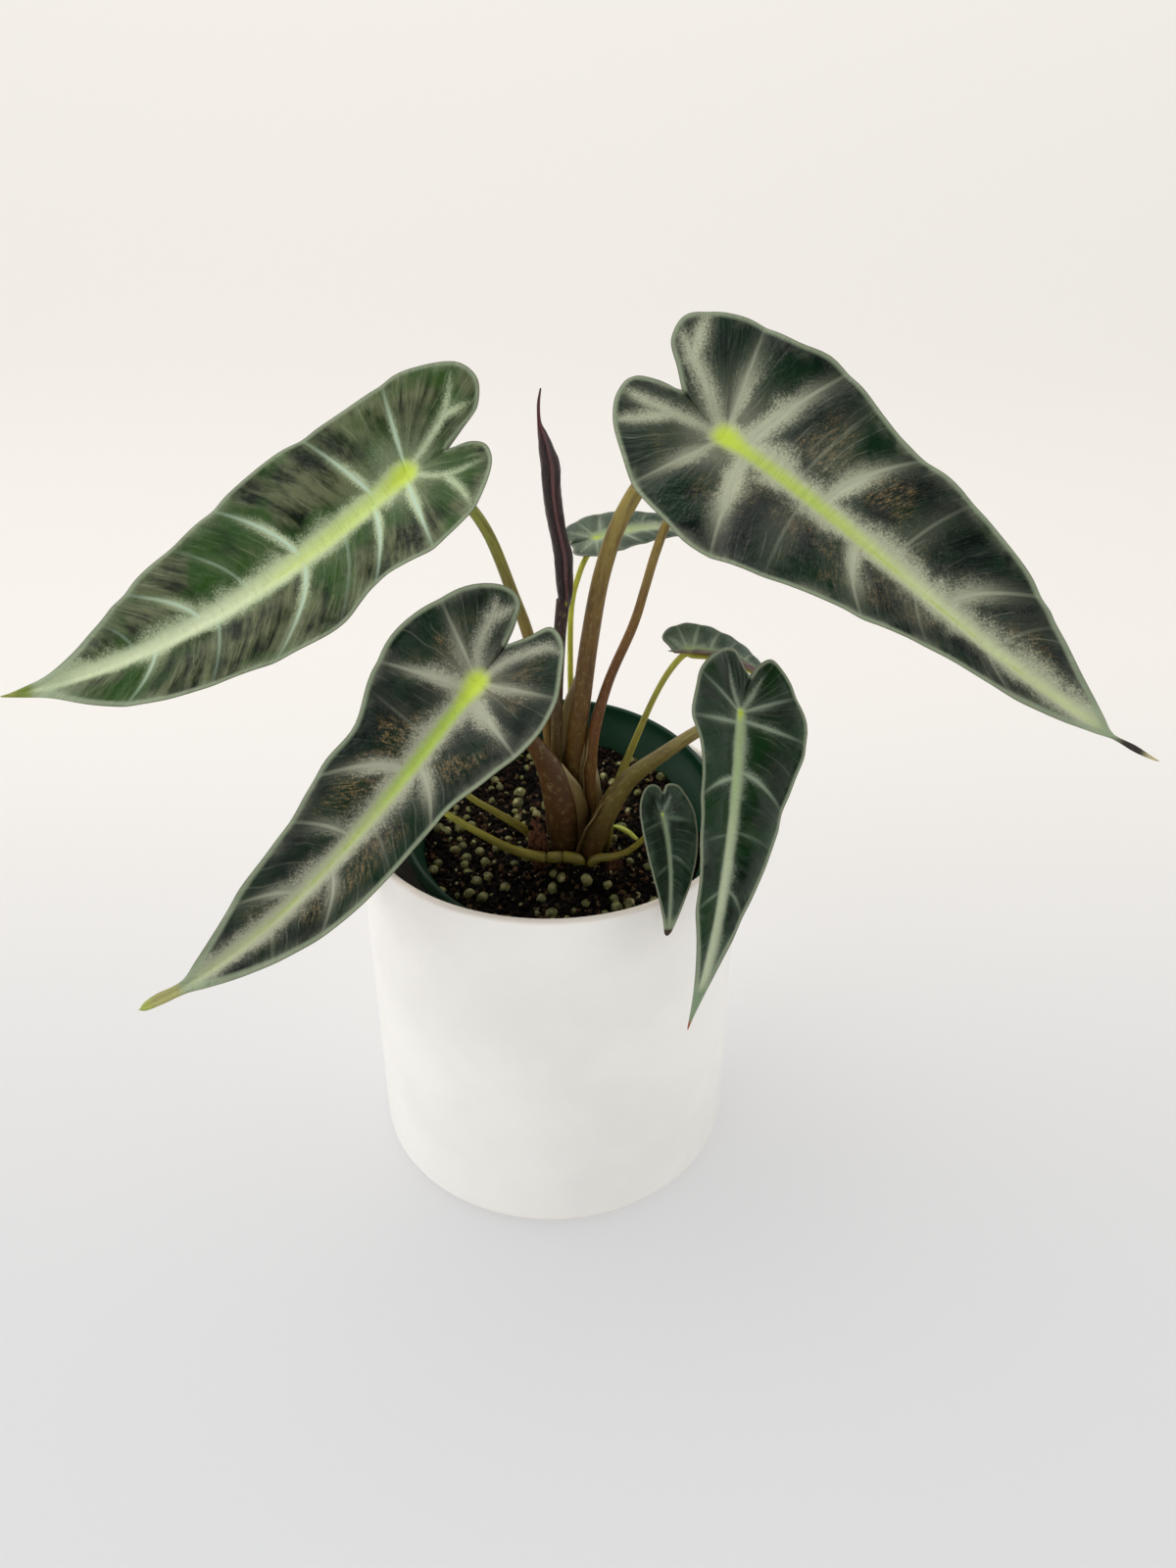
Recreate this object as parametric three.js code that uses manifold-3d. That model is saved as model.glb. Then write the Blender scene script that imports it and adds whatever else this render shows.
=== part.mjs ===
// A potted bambino alocasia: a small arrow-leaved aroid in a tilted nursery pot, set in a white cover pot.
// Millimetres, +Z up. The origin is the middle of the cover pot's underside, and the front is -Y.
import * as THREE from "three";
import { mergeVertices } from "three/addons/utils/BufferGeometryUtils.js";
import Module from "manifold-3d";

const wasm = await Module();
wasm.setup();

// Cover pot: a plain straight cylinder
const COVER_RADIUS = 62;
const COVER_HEIGHT = 129.5;
const COVER_WALL = 2.6;
const COVER_FLOOR = 5;
const COVER_FOOT_ROUND = 3.4;
const COVER_FLOOR_ROUND = 5;

// Nursery pot: a thin tapered liner that stands tilted in the cover pot
const LINER_RIM_RADIUS = 53;
const LINER_FOOT_RADIUS = 35;
const LINER_HEIGHT = 82;
const LINER_WALL = 1.2;
const LINER_BAND = 6.5;
const LINER_STEP = 3.4;
const LINER_FLOOR = 1.4;
const LINER_FOOT = new THREE.Vector3(1.6, 23.4, 46);
const LINER_TILT = THREE.MathUtils.degToRad(14);
const LINER_LEAN = THREE.MathUtils.degToRad(1.7);
const DRAIN_HOLES = 6;
const DRAIN_RADIUS = 4;
const DRAIN_REACH = 0.66 * LINER_FOOT_RADIUS;

// Fillings, and the gap that is kept where two pieces touch
const SEAT_GAP = 0.3;
const LOOSE_GAP = 0.3;
const SOIL_DEPTH_BELOW_RIM = 16;
const SOIL_LUMP = 1.1;
const GRAIN_COUNT = 38;

// Crown: the low corm that all stems grow from, in the nursery pot's own frame
const CROWN_PLACE = new THREE.Vector2(4.9, -7.1);
const CROWN_RADIUS = 13.2;
const CROWN_TOP = 3;
const CROWN_DEPTH = 10;

// Blades
const BLADE_THICKNESS = 0.8;
const QUILT_HEIGHT = 1.5;
const EDGE_RIPPLE = 1.2;
const FULL_RELIEF_HALF_WIDTH = 22;
const LARGE_SIDES = 8;
const SMALL_SIDES = 6;

const material = (colour, roughness) =>
  new THREE.MeshStandardMaterial({ color: colour, roughness, metalness: 0 });
const glaze = material(0xf2efe9, 0.35);
const greenPlastic = material(0x123a2a, 0.45);
const clay = material(0x8a5a3c, 0.9);
const pottingMix = material(0x2a2119, 0.95);
const cormSkin = material(0x6b4a35, 0.7);
const bladeGreen = material(0x22332d, 0.35);
const spearSkin = material(0x3a1f24, 0.4);
const shootGreen = material(0xb4c83c, 0.5);

const vec = (p) => new THREE.Vector3(p[0], p[1], p[2]);

// A closed triangle mesh from its points and faces
function closedMesh(points, faces) {
  const geometry = new THREE.BufferGeometry();
  geometry.setAttribute("position", new THREE.Float32BufferAttribute(points.flat(), 3));
  geometry.setIndex(faces.flat());
  return geometry;
}

function toSolid(geometry) {
  const bare = geometry.clone();
  bare.deleteAttribute("normal");
  bare.deleteAttribute("uv");
  const merged = mergeVertices(bare, 1e-4);
  return new wasm.Manifold(
    new wasm.Mesh({
      numProp: 3,
      vertProperties: new Float32Array(merged.attributes.position.array),
      triVerts: new Uint32Array(merged.index.array),
    }),
  );
}

function toGeometry(solid) {
  const mesh = solid.getMesh();
  const geometry = new THREE.BufferGeometry();
  geometry.setAttribute("position", new THREE.BufferAttribute(mesh.vertProperties, 3));
  geometry.setIndex(new THREE.BufferAttribute(mesh.triVerts, 1));
  return geometry;
}

function addMesh(parent, name, geometry, surface) {
  geometry.computeVertexNormals();
  const mesh = new THREE.Mesh(geometry, surface);
  mesh.name = name;
  parent.add(mesh);
  return mesh;
}

const lathe = (profile, segments) =>
  new THREE.LatheGeometry(
    profile.map(([r, z]) => new THREE.Vector2(r, z)),
    segments,
  ).rotateX(Math.PI / 2);

// A fixed sequence of numbers from 0 to 1
function seeded(seed) {
  let state = seed;
  return () => {
    state = (state * 16807) % 2147483647;
    return state / 2147483647;
  };
}

// A soft bumpy height over the plane, from -1 to 1
const bumps = (x, y, size) =>
  (Math.sin(x / size + 1.3 * Math.sin(y / size / 1.7)) +
    Math.sin(y / size / 0.8 + 1.1 * Math.sin(x / size / 1.3 + 2))) /
  2;

// A round bed: a flat underside, an upright side and a top whose height is top(x, y)
function bed(radius, underside, top, rings, segments, footRadius = radius) {
  const points = [[0, 0, underside], [0, 0, top(0, 0)]];
  const at = (ring, k) => 2 + (ring - 1) * segments + (k % segments);
  const foot = (k) => 2 + rings * segments + (k % segments);
  const faces = [];
  for (let ring = 1; ring <= rings; ring++)
    for (let k = 0; k < segments; k++) {
      const turn = (2 * Math.PI * k) / segments;
      const x = ((radius * ring) / rings) * Math.cos(turn);
      const y = ((radius * ring) / rings) * Math.sin(turn);
      points.push([x, y, top(x, y)]);
    }
  for (let k = 0; k < segments; k++) {
    const turn = (2 * Math.PI * k) / segments;
    points.push([footRadius * Math.cos(turn), footRadius * Math.sin(turn), underside]);
    faces.push([1, at(1, k), at(1, k + 1)]);
    for (let ring = 1; ring < rings; ring++) {
      faces.push([at(ring, k), at(ring + 1, k), at(ring + 1, k + 1)]);
      faces.push([at(ring, k), at(ring + 1, k + 1), at(ring, k + 1)]);
    }
    faces.push([at(rings, k), foot(k), foot(k + 1)], [at(rings, k), foot(k + 1), at(rings, k + 1)]);
    faces.push([0, foot(k + 1), foot(k)]);
  }
  return closedMesh(points, faces);
}

// A round limb along a smooth line of [x, y, z, radius] points, its radius changing evenly between them
function limb(stations, { sides = 8, steps = 2, grow = 0, flat = 1 } = {}) {
  const curve = new THREE.CatmullRomCurve3(stations.map(vec), false, "catmullrom", 0.5);
  const count = (stations.length - 1) * steps;
  const across = new THREE.Vector3(1, 0, 0);
  const points = [];
  const faces = [];
  for (let i = 0; i <= count; i++) {
    const centre = curve.getPoint(i / count);
    const along = curve.getTangent(i / count);
    const first = across.clone().addScaledVector(along, -across.dot(along)).normalize();
    const second = along.clone().cross(first);
    const from = Math.min(Math.floor(i / steps), stations.length - 2);
    const share = i / steps - from;
    const radius = grow + THREE.MathUtils.lerp(stations[from][3], stations[from + 1][3], share);
    for (let k = 0; k < sides; k++) {
      const turn = (2 * Math.PI * k) / sides;
      points.push(
        centre
          .clone()
          .addScaledVector(first, radius * Math.cos(turn))
          .addScaledVector(second, flat * radius * Math.sin(turn))
          .toArray(),
      );
    }
  }
  const at = (i, k) => i * sides + (k % sides);
  for (let i = 0; i < count; i++)
    for (let k = 0; k < sides; k++) {
      faces.push([at(i, k), at(i, k + 1), at(i + 1, k + 1)]);
      faces.push([at(i, k), at(i + 1, k + 1), at(i + 1, k)]);
    }
  for (let k = 1; k < sides - 1; k++) {
    faces.push([at(0, 0), at(0, k + 1), at(0, k)]);
    faces.push([at(count, 0), at(count, k), at(count, k + 1)]);
  }
  return closedMesh(points, faces);
}

// Half outlines of the blades as [along, across], from the notch between the lobes round to the tip, with
// the stem's joint at 0. Left and right are as seen from above with the tip ahead, and each is measured
// towards its own side, so a notch that lies off the midrib is plus on one side and minus on the other.
const OUTLINES = {
  left: {
    left: [[-13, 4], [-19, 7], [-22, 12], [-20, 18], [-14, 23], [-6, 26.3], [7, 26.5], [24, 23.2], [38, 28],
      [54, 26.5], [72, 23], [88, 20], [103, 14], [116, 5.5], [124, 2], [130, 0]],
    right: [[-13, -4], [-20, -2], [-27, 0.4], [-32, 6], [-31, 13], [-25, 18], [-15, 22.7], [-4, 24.1],
      [12, 26.3], [28, 28.3], [45, 27.5], [64, 24.3], [82, 20.3], [96, 14], [107, 7.5], [116, 3.3],
      [124, 1.4], [130, 0]],
  },
  right: {
    left: [[-17, 4], [-22, 8.7], [-28, 14], [-28.5, 21.5], [-22, 26.6], [-12, 30], [2, 31.5], [12, 33.3],
      [25, 31], [39, 27.5], [56, 27.7], [72, 25.5], [89, 22], [104, 16], [119, 8.5], [132, 2.2], [141, 1],
      [149, 0]],
    right: [[-17, -4], [-25, -3], [-31.5, 0.3], [-31, 8.4], [-26, 17], [-18, 24.5], [-8, 32], [4, 35.5],
      [16, 38], [32, 33], [48, 26.4], [65, 20.3], [81, 14.5], [98, 11.4], [115, 8], [131, 3.2],
      [141, 1.1], [149, 0]],
  },
  frontLeft: {
    left: [[-13, 0], [-18, 4], [-23.5, 8], [-22, 14.3], [-16, 19.5], [-7, 24.7], [4, 26.3], [20, 22],
      [33, 18], [50, 17.3], [67, 16.5], [82, 13.6], [97, 8.8], [110, 5], [119, 2], [127, 0]],
    right: [[-13, 0], [-19, 1.6], [-25, 5], [-25, 11.3], [-19, 18.5], [-8, 24], [4, 26.5], [17, 24.3],
      [30, 19.3], [44, 19.6], [58, 16.8], [73, 14.5], [87, 12.2], [98, 7.5], [108, 3.2], [118, 1.6],
      [127, 0]],
  },
  frontRight: {
    left: [[-11, 2], [-15, 5], [-17, 9], [-13, 13.5], [-6, 18], [2, 21], [9, 20.8], [18, 17.7], [28, 15],
      [38, 13], [49, 9.8], [60, 6.8], [71, 3.8], [82, 1.6], [93, 0]],
    right: [[-11, -2], [-15, 0.5], [-18, 4], [-16.5, 9.5], [-11, 15.5], [-3, 18.4], [4, 18.7], [12, 15],
      [22, 13.1], [34, 12], [46, 10.2], [57, 9], [68, 6], [80, 2.8], [87, 1.2], [93, 0]],
  },
  smallFront: {
    left: [[-6, 1.7], [-8, 3.5], [-7, 6.3], [-4, 7.8], [1, 9.1], [6, 9], [12, 8.1], [19, 6.4], [25, 4.4],
      [31, 2.5], [36, 0]],
    right: [[-6, -1.7], [-8.5, -0.5], [-9, 2.6], [-6.5, 5.6], [-2, 7.5], [5, 8], [12, 7.4], [18, 6],
      [24, 4.3], [30, 2.4], [36, 0]],
  },
};

// The common blade outline, for a blade of the given length ahead of the joint and half width
function plainOutline(length, halfWidth) {
  const half = [[-0.13, 0], [-0.17, 0.22], [-0.21, 0.4], [-0.2, 0.6], [-0.14, 0.82], [-0.03, 0.97],
    [0.1, 1], [0.28, 0.9], [0.46, 0.76], [0.64, 0.56], [0.8, 0.32], [0.9, 0.13], [1, 0]];
  const side = half.map(([along, across]) => [along * length, across * halfWidth]);
  return { left: side, right: side };
}

// The common side veins of both halves, each as [foot on the midrib, end on the margin] along the blade
function plainVeins(length) {
  const half = [[-0.04, -0.07], [0.04, 0.12], [0.2, 0.3], [0.36, 0.46], [0.52, 0.62]];
  const side = half.map(([foot, end]) => [foot * length, end * length]);
  return { left: side, right: side };
}

// Each leaf: its stem as [x, y, z, radius] from the crown to the joint, the Bezier points of its midrib
// from the joint to the tip, the way its face looks at the joint and at the tip, how far each half is
// folded up in degrees, and the five strongest side veins of each half
const LEAVES = [
  {
    name: "leaf_left",
    outline: OUTLINES.left,
    stem: [[1.5, 8.5, 107, 2.3], [1, 9, 122, 2.6], [0.5, 9, 140, 2.5], [-1.5, 8.5, 160, 2.1],
      [-6.3, 8, 184.5, 1.9], [-10.8, 8, 199, 1.8], [-18, 7.5, 219.5, 1.7], [-27, 7, 231.5, 1.7],
      [-37.5, 4.5, 236.5, 1.7]],
    midrib: [[-39, 0, 239], [-71, -11, 213], [-109, -26, 191], [-150, -37, 188]],
    faces: [[-0.2, -0.78, 0.6], [0.1, -0.57, 0.82]],
    fold: [17, 10],
    veins: {
      left: [[1, 7], [13, 25], [38, 58], [67, 75], [86, 98]],
      right: [[-1, -11], [11, 17], [38, 52], [55, 69], [71, 88]],
    },
    rows: 3,
    columns: 5,
  },
  {
    name: "leaf_right",
    outline: OUTLINES.right,
    stem: [[6.5, 5, 104, 3.4], [7, 5.5, 124, 3.5], [7.6, 5, 145, 3.3], [9.8, 4.5, 165, 3],
      [12.4, 4.5, 187, 2.8], [16, 5, 208, 2.6], [22, 5.5, 226, 2.5], [32, 7.5, 240, 2.4],
      [46.5, 7, 246, 2.3]],
    midrib: [[49, 2, 249], [89, -20, 229], [123, -42, 196], [167, -50, 177]],
    faces: [[-0.03, -0.73, 0.68], [0.15, -0.6, 0.79]],
    fold: [18, 19],
    veins: {
      left: [[-4, -8], [6, 17], [33, 46], [57, 64], [76, 95]],
      right: [[-2, -10], [8, 21], [47, 61], [68, 79], [92, 105]],
    },
    rows: 3,
    columns: 5,
  },
  {
    name: "leaf_front_left",
    outline: OUTLINES.frontLeft,
    stem: [[5, -3.5, 104, 3.4], [4.5, -3.5, 116, 4.4], [3, -4, 132, 5.2], [-0.5, -5.5, 147, 3.9],
      [-6, -10, 160, 2.3], [-11, -18, 174, 1.9], [-15.5, -28, 186, 1.7], [-17.5, -34.5, 190.5, 1.7]],
    midrib: [[-18, -39, 194], [-43, -58, 167], [-69, -80, 136], [-107, -93, 124]],
    faces: [[-0.1, -0.76, 0.64], [0.07, -0.64, 0.76]],
    fold: [22, 9],
    veins: {
      left: [[-6, -9], [5, 10], [28, 39], [48, 54], [64, 78]],
      right: [[-7, -12], [3, 12], [31, 48], [54, 62], [75, 91]],
    },
    rows: 3,
    columns: 5,
  },
  {
    name: "leaf_front_right",
    outline: OUTLINES.frontRight,
    stem: [[12.5, -4.5, 104, 3.1], [13.5, -4.7, 116, 3.8], [19, -5.5, 132, 3.6], [25, -8, 144, 2.9],
      [35, -15, 157.5, 2.2], [43, -20.5, 167.5, 1.9], [51.5, -26, 176.5, 1.6]],
    midrib: [[55, -30, 180], [53, -51, 158], [50, -67, 130], [41, -76, 102]],
    faces: [[0.43, -0.67, 0.61], [0.35, -0.89, 0.28]],
    fold: [9, 15],
    veins: {
      left: [[-3, -7], [2, 6], [17, 27], [34, 38], [50, 58]],
      right: [[-5, -9], [3, 4], [19, 25], [35, 38], [51, 57]],
    },
    rows: 3,
    columns: 4,
  },
  {
    name: "leaf_hidden_right",
    outline: plainOutline(78, 20),
    stem: [[13.5, 4, 104, 2], [13.3, 4, 124, 2.3], [13, 4, 148, 2.1], [17.8, 5, 170, 1.6],
      [25.5, 8, 189, 1.5], [29, 10, 201, 1.4], [32, 13, 211, 1.4], [36, 17, 220, 1.4], [43, 23, 224, 1.3]],
    midrib: [[44, 22, 226], [62, 33, 220], [84, 46, 203], [99, 52, 182]],
    faces: [[-0.1, -0.5, 0.85], [0.2, -0.3, 0.85]],
    fold: [10, 10],
    veins: plainVeins(78),
    rows: 3,
    columns: 3,
  },
  {
    name: "leaf_small_front",
    outline: OUTLINES.smallFront,
    stem: [[13.5, -9.6, 104, 1.3], [13.2, -10.2, 111, 1.5], [15.5, -10.8, 115, 1.5], [20, -11, 116, 1.3],
      [25, -12, 119, 1.1], [29.5, -18, 128, 0.9], [31.5, -29, 141, 0.9], [32.5, -41, 152.5, 0.9]],
    midrib: [[33, -46, 156], [36, -51, 146], [36, -56, 135], [35, -60, 123]],
    faces: [[0.3, -0.82, 0.5], [0.36, -0.88, 0.32]],
    fold: [15, 16],
    veins: plainVeins(36),
    rows: 2,
    columns: 3,
  },
  {
    name: "leaf_rear",
    outline: plainOutline(44, 9.5),
    stem: [[6, 11.5, 108, 0.9], [6.3, 12, 128, 0.9], [6.3, 12, 160, 0.9], [6.5, 12.5, 191, 0.9],
      [9, 15, 203, 0.9], [12, 20, 208, 0.9], [13.6, 24, 208.6, 0.9]],
    midrib: [[14, 25, 210.5], [29, 31, 213], [43, 37, 211], [54, 42, 204]],
    faces: [[-0.1, -0.35, 0.93], [0.1, -0.2, 0.97]],
    fold: [6, 6],
    veins: plainVeins(44),
    rows: 2,
    columns: 3,
  },
  {
    name: "leaf_rear_right",
    outline: plainOutline(36, 10),
    stem: [[18.5, 1, 104, 1.4], [18.5, 1, 112, 1.5], [19.5, 2, 126, 1.6], [22, 3.5, 136, 1.5],
      [26, 5, 147.5, 1.2], [32, 5, 164.5, 1], [36.5, 4, 175, 1], [41, 2, 182.3, 1]],
    midrib: [[42, 0, 184], [52, 2, 183], [63, 5, 177], [73, 8, 165]],
    faces: [[-0.05, -0.15, 1], [0.3, -0.15, 0.9]],
    fold: [30, 38],
    veins: plainVeins(36),
    rows: 2,
    columns: 3,
  },
  {
    name: "leaf_low_front",
    outline: plainOutline(40, 10.5),
    stem: [[8.5, -9, 104, 1.6], [9.3, -10, 111.5, 2.1], [5, -10.8, 115.3, 2], [-3, -10.6, 115.3, 1.8],
      [-13, -9.5, 118, 1.5], [-25, -12, 127.5, 1.2], [-33, -15.5, 136, 1], [-39.5, -20, 143, 1]],
    midrib: [[-41, -22, 145], [-51, -29, 141], [-62, -36, 132], [-69, -41, 119]],
    faces: [[-0.3, -0.6, 0.75], [-0.5, -0.5, 0.6]],
    fold: [8, 8],
    veins: plainVeins(40),
    rows: 2,
    columns: 3,
  },
  {
    name: "leaf_low_rear",
    outline: plainOutline(34, 9),
    stem: [[-1, 0.5, 104, 1.5], [-1.6, 0, 111, 1.9], [-7, -2, 119, 1.6], [-17, -4, 128, 1.2],
      [-27, -6, 137, 1], [-36, -5, 149, 0.9], [-40, 0, 158, 0.9]],
    midrib: [[-40.5, 1.5, 160], [-50, 4, 159], [-60, 7, 153], [-68, 10, 142]],
    faces: [[-0.2, -0.5, 0.85], [-0.4, -0.4, 0.8]],
    fold: [8, 8],
    veins: plainVeins(34),
    rows: 2,
    columns: 3,
  },
];

const SPEAR_STEM = [[1.2, 3.2, 104, 1.5], [1.5, 3.2, 130, 1.7], [2.6, 3.2, 165, 1.9], [4.6, 4.2, 189, 2]];
const SPEAR_SCROLL = [[4.6, 4.2, 187, 2.2], [4.7, 4.5, 196, 2.6], [4.7, 4.5, 204, 2.9], [4.4, 4.5, 212, 3.2],
  [2.6, 4.5, 223, 3.1], [0.9, 4.5, 235, 2.6], [-0.8, 4.5, 245, 1.9], [-1.7, 4.5, 254, 1.1],
  [-1.4, 4.5, 261.5, 0.45]];
const SHOOT = [[16, 6.5, 104, 0.8], [18, 8.5, 111, 0.9], [21, 8.5, 114.5, 1], [25, 6, 114.5, 1],
  [28.5, 3.5, 112.8, 0.7]];
const OLD_SHEATHS = [
  [[-3, -3.5, 106, 3.5], [-4.5, -4.5, 112, 3.4], [-4.5, -5, 119, 2.2], [-4, -5, 124, 0.7]],
  [[19.5, -6, 106, 3], [20.5, -6.5, 111, 2.6], [20.5, -7, 116, 0.7]],
  [[12, 12.5, 109, 3], [12.5, 13.5, 115, 2.6], [12.5, 14, 121, 0.7]],
];

// The blade's surface: a flat outline laid along the midrib, folded at it, raised between its side veins
function bladeSurface({ midrib, faces, fold }) {
  const rib = new THREE.CubicBezierCurve3(...midrib.map(vec));
  const length = rib.getLength();
  const [atJoint, atTip] = faces.map((f) => vec(f).normalize());
  const folds = fold.map(THREE.MathUtils.degToRad);
  return function place(along, across, lift) {
    const share = THREE.MathUtils.clamp(along / length, 0, 1);
    const ahead = rib.getTangentAt(share);
    const up = atJoint.clone().lerp(atTip, share);
    up.addScaledVector(ahead, -up.dot(ahead)).normalize();
    const left = up.clone().cross(ahead);
    const angle = folds[across >= 0 ? 0 : 1];
    return rib
      .getPointAt(share)
      .addScaledVector(ahead, along - share * length)
      .addScaledVector(left, across * Math.cos(angle))
      .addScaledVector(up, Math.abs(across) * Math.sin(angle) + lift);
  };
}

// One half of a blade as rows from the midrib to the margin. The cell number runs from -1 in the notch,
// over 0 at the lobe's own vein, to the tip, and is whole on each side vein.
function halfRows(points, veins, rowsPerCell) {
  const SAMPLES = 300;
  const margin = new THREE.SplineCurve(points.map(([a, b]) => new THREE.Vector2(a, b))).getPoints(SAMPLES);
  const lobeEnd = margin.reduce((best, p, i) => (p.x < margin[best].x ? i : best), 0);
  const ends = veins.map(([, end]) => margin.findIndex((p, i) => i > lobeEnd && p.x >= end));
  const knots = [0, lobeEnd, ...ends, SAMPLES];
  const feet = [0, 0, ...veins.map(([foot]) => Math.max(0, foot)), margin[SAMPLES].x];
  const rows = [];
  for (let cell = 0; cell < knots.length - 1; cell++)
    for (let step = 0; step < rowsPerCell; step++) {
      const share = step / rowsPerCell;
      const edge = margin[Math.round(THREE.MathUtils.lerp(knots[cell], knots[cell + 1], share))];
      const start =
        cell === 0
          ? margin[0].clone().multiplyScalar(1 - share)
          : new THREE.Vector2(THREE.MathUtils.lerp(feet[cell], feet[cell + 1], share), 0);
      rows.push({ cell: cell - 1 + share, start, edge });
    }
  rows.push({ cell: knots.length - 2, start: margin[SAMPLES], edge: margin[SAMPLES] });
  return rows;
}

// Quilting between the side veins, and the ripple of the margin
function relief(cell, out, halfWidth) {
  const wave = (1 - Math.cos(2 * Math.PI * cell)) / 2;
  const size = Math.min(1, halfWidth / FULL_RELIEF_HALF_WIDTH);
  const quilt = QUILT_HEIGHT * wave * Math.sin(Math.PI * Math.min(1, out * 1.1));
  return size * (quilt + EDGE_RIPPLE * (wave - 0.5) * out ** 3);
}

function bladeGeometry(leaf) {
  const place = bladeSurface(leaf);
  const points = [];
  const faces = [];
  const seen = new Map();
  const widest = Math.max(...leaf.outline.left.map(([, across]) => across));
  // Points of the upper and the lower face come in pairs, even and odd
  function pair(along, across, lift) {
    const key = `${along.toFixed(2)},${across.toFixed(2)}`;
    if (!seen.has(key)) {
      seen.set(key, points.length);
      points.push(place(along, across, lift + BLADE_THICKNESS / 2).toArray());
      points.push(place(along, across, lift - BLADE_THICKNESS / 2).toArray());
    }
    return seen.get(key);
  }
  const halves = ["left", "right"].map((side) => halfRows(leaf.outline[side], leaf.veins[side], leaf.rows));
  for (const [side, rows] of halves.entries()) {
    const sign = side === 0 ? 1 : -1;
    const grid = rows.map(({ cell, edge }, row) =>
      Array.from({ length: leaf.columns + 1 }, (_, k) => {
        const out = k / leaf.columns;
        const [left, right] = halves.map((half) => half[row].start);
        const along = THREE.MathUtils.lerp((left.x + right.x) / 2, edge.x, out);
        const across = THREE.MathUtils.lerp(left.y, sign * edge.y, out);
        return pair(along, across, relief(cell, out, widest));
      }),
    );
    const face = (a, b, c) => {
      if (a === b || b === c || a === c) return;
      const upper = sign > 0 ? [a, b, c] : [a, c, b];
      faces.push(upper, [upper[0] + 1, upper[2] + 1, upper[1] + 1]);
    };
    for (let i = 0; i + 1 < grid.length; i++) {
      for (let k = 0; k < leaf.columns; k++) {
        face(grid[i][k], grid[i + 1][k + 1], grid[i][k + 1]);
        face(grid[i][k], grid[i + 1][k], grid[i + 1][k + 1]);
      }
      const [a, b] = [grid[i][leaf.columns], grid[i + 1][leaf.columns]];
      if (a === b) continue;
      faces.push(sign > 0 ? [a, b, b + 1] : [b, a, a + 1], sign > 0 ? [a, b + 1, a + 1] : [b, a + 1, b + 1]);
    }
  }
  return closedMesh(points, faces);
}

// The stem runs on under the blade as its midrib, sunk into it so that its top stays below the face
function leafLimb(leaf, options) {
  const place = bladeSurface(leaf);
  const radius = leaf.stem.at(-1)[3];
  const length = new THREE.CubicBezierCurve3(...leaf.midrib.map(vec)).getLength();
  const shares = leaf.columns > 3 ? [0.06, 0.2, 0.36, 0.52, 0.68] : [0.12, 0.35, 0.6];
  const ribs = shares.map((share) => {
    const ribRadius = Math.max(0.45, radius * (0.9 - share));
    return [...place(share * length, 0, 0.25 - ribRadius).toArray(), ribRadius];
  });
  return limb([...leaf.stem, ...ribs], options);
}

const outwards = (solid) => {
  if (solid.volume() < 0) throw new Error("a piece is inside out");
  return solid;
};

function coverPot() {
  const inner = COVER_RADIUS - COVER_WALL;
  const lip = COVER_WALL / 2;
  return lathe(
    [[0, 0], [COVER_RADIUS - COVER_FOOT_ROUND, 0],
      [COVER_RADIUS - 0.3 * COVER_FOOT_ROUND, 0.3 * COVER_FOOT_ROUND], [COVER_RADIUS, COVER_FOOT_ROUND],
      [COVER_RADIUS, COVER_HEIGHT - lip], [COVER_RADIUS - 0.3 * lip, COVER_HEIGHT - 0.3 * lip],
      [COVER_RADIUS - lip, COVER_HEIGHT], [inner + 0.3 * lip, COVER_HEIGHT - 0.3 * lip],
      [inner, COVER_HEIGHT - lip], [inner, COVER_FLOOR + COVER_FLOOR_ROUND],
      [inner - 0.3 * COVER_FLOOR_ROUND, COVER_FLOOR + 0.3 * COVER_FLOOR_ROUND],
      [inner - COVER_FLOOR_ROUND, COVER_FLOOR], [0, COVER_FLOOR]],
    52,
  );
}

function nurseryPot() {
  const bandFoot = LINER_HEIGHT - LINER_BAND;
  const neck = LINER_RIM_RADIUS - LINER_STEP;
  const round = 0.7;
  const inside = LINER_RIM_RADIUS - LINER_WALL - round;
  const shell = lathe(
    [[0, 0], [LINER_FOOT_RADIUS - 2 * round, 0], [LINER_FOOT_RADIUS, 2 * round], [neck, bandFoot - round],
      [LINER_RIM_RADIUS - round, bandFoot], [LINER_RIM_RADIUS, bandFoot + round],
      [LINER_RIM_RADIUS, LINER_HEIGHT - round], [LINER_RIM_RADIUS - round, LINER_HEIGHT],
      [inside + 0.2, LINER_HEIGHT - round], [inside, bandFoot + round],
      [neck - LINER_WALL, bandFoot - round], [LINER_FOOT_RADIUS - LINER_WALL, LINER_FLOOR],
      [0, LINER_FLOOR]],
    44,
  );
  let pot = outwards(toSolid(shell));
  for (let k = 0; k < DRAIN_HOLES; k++) {
    const turn = (2 * Math.PI * (k + 0.5)) / DRAIN_HOLES;
    const drill = new THREE.CylinderGeometry(DRAIN_RADIUS, DRAIN_RADIUS, 8, 12)
      .rotateX(Math.PI / 2)
      .translate(DRAIN_REACH * Math.cos(turn), DRAIN_REACH * Math.sin(turn), 0);
    pot = pot.subtract(toSolid(drill));
  }
  return toGeometry(pot);
}

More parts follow.
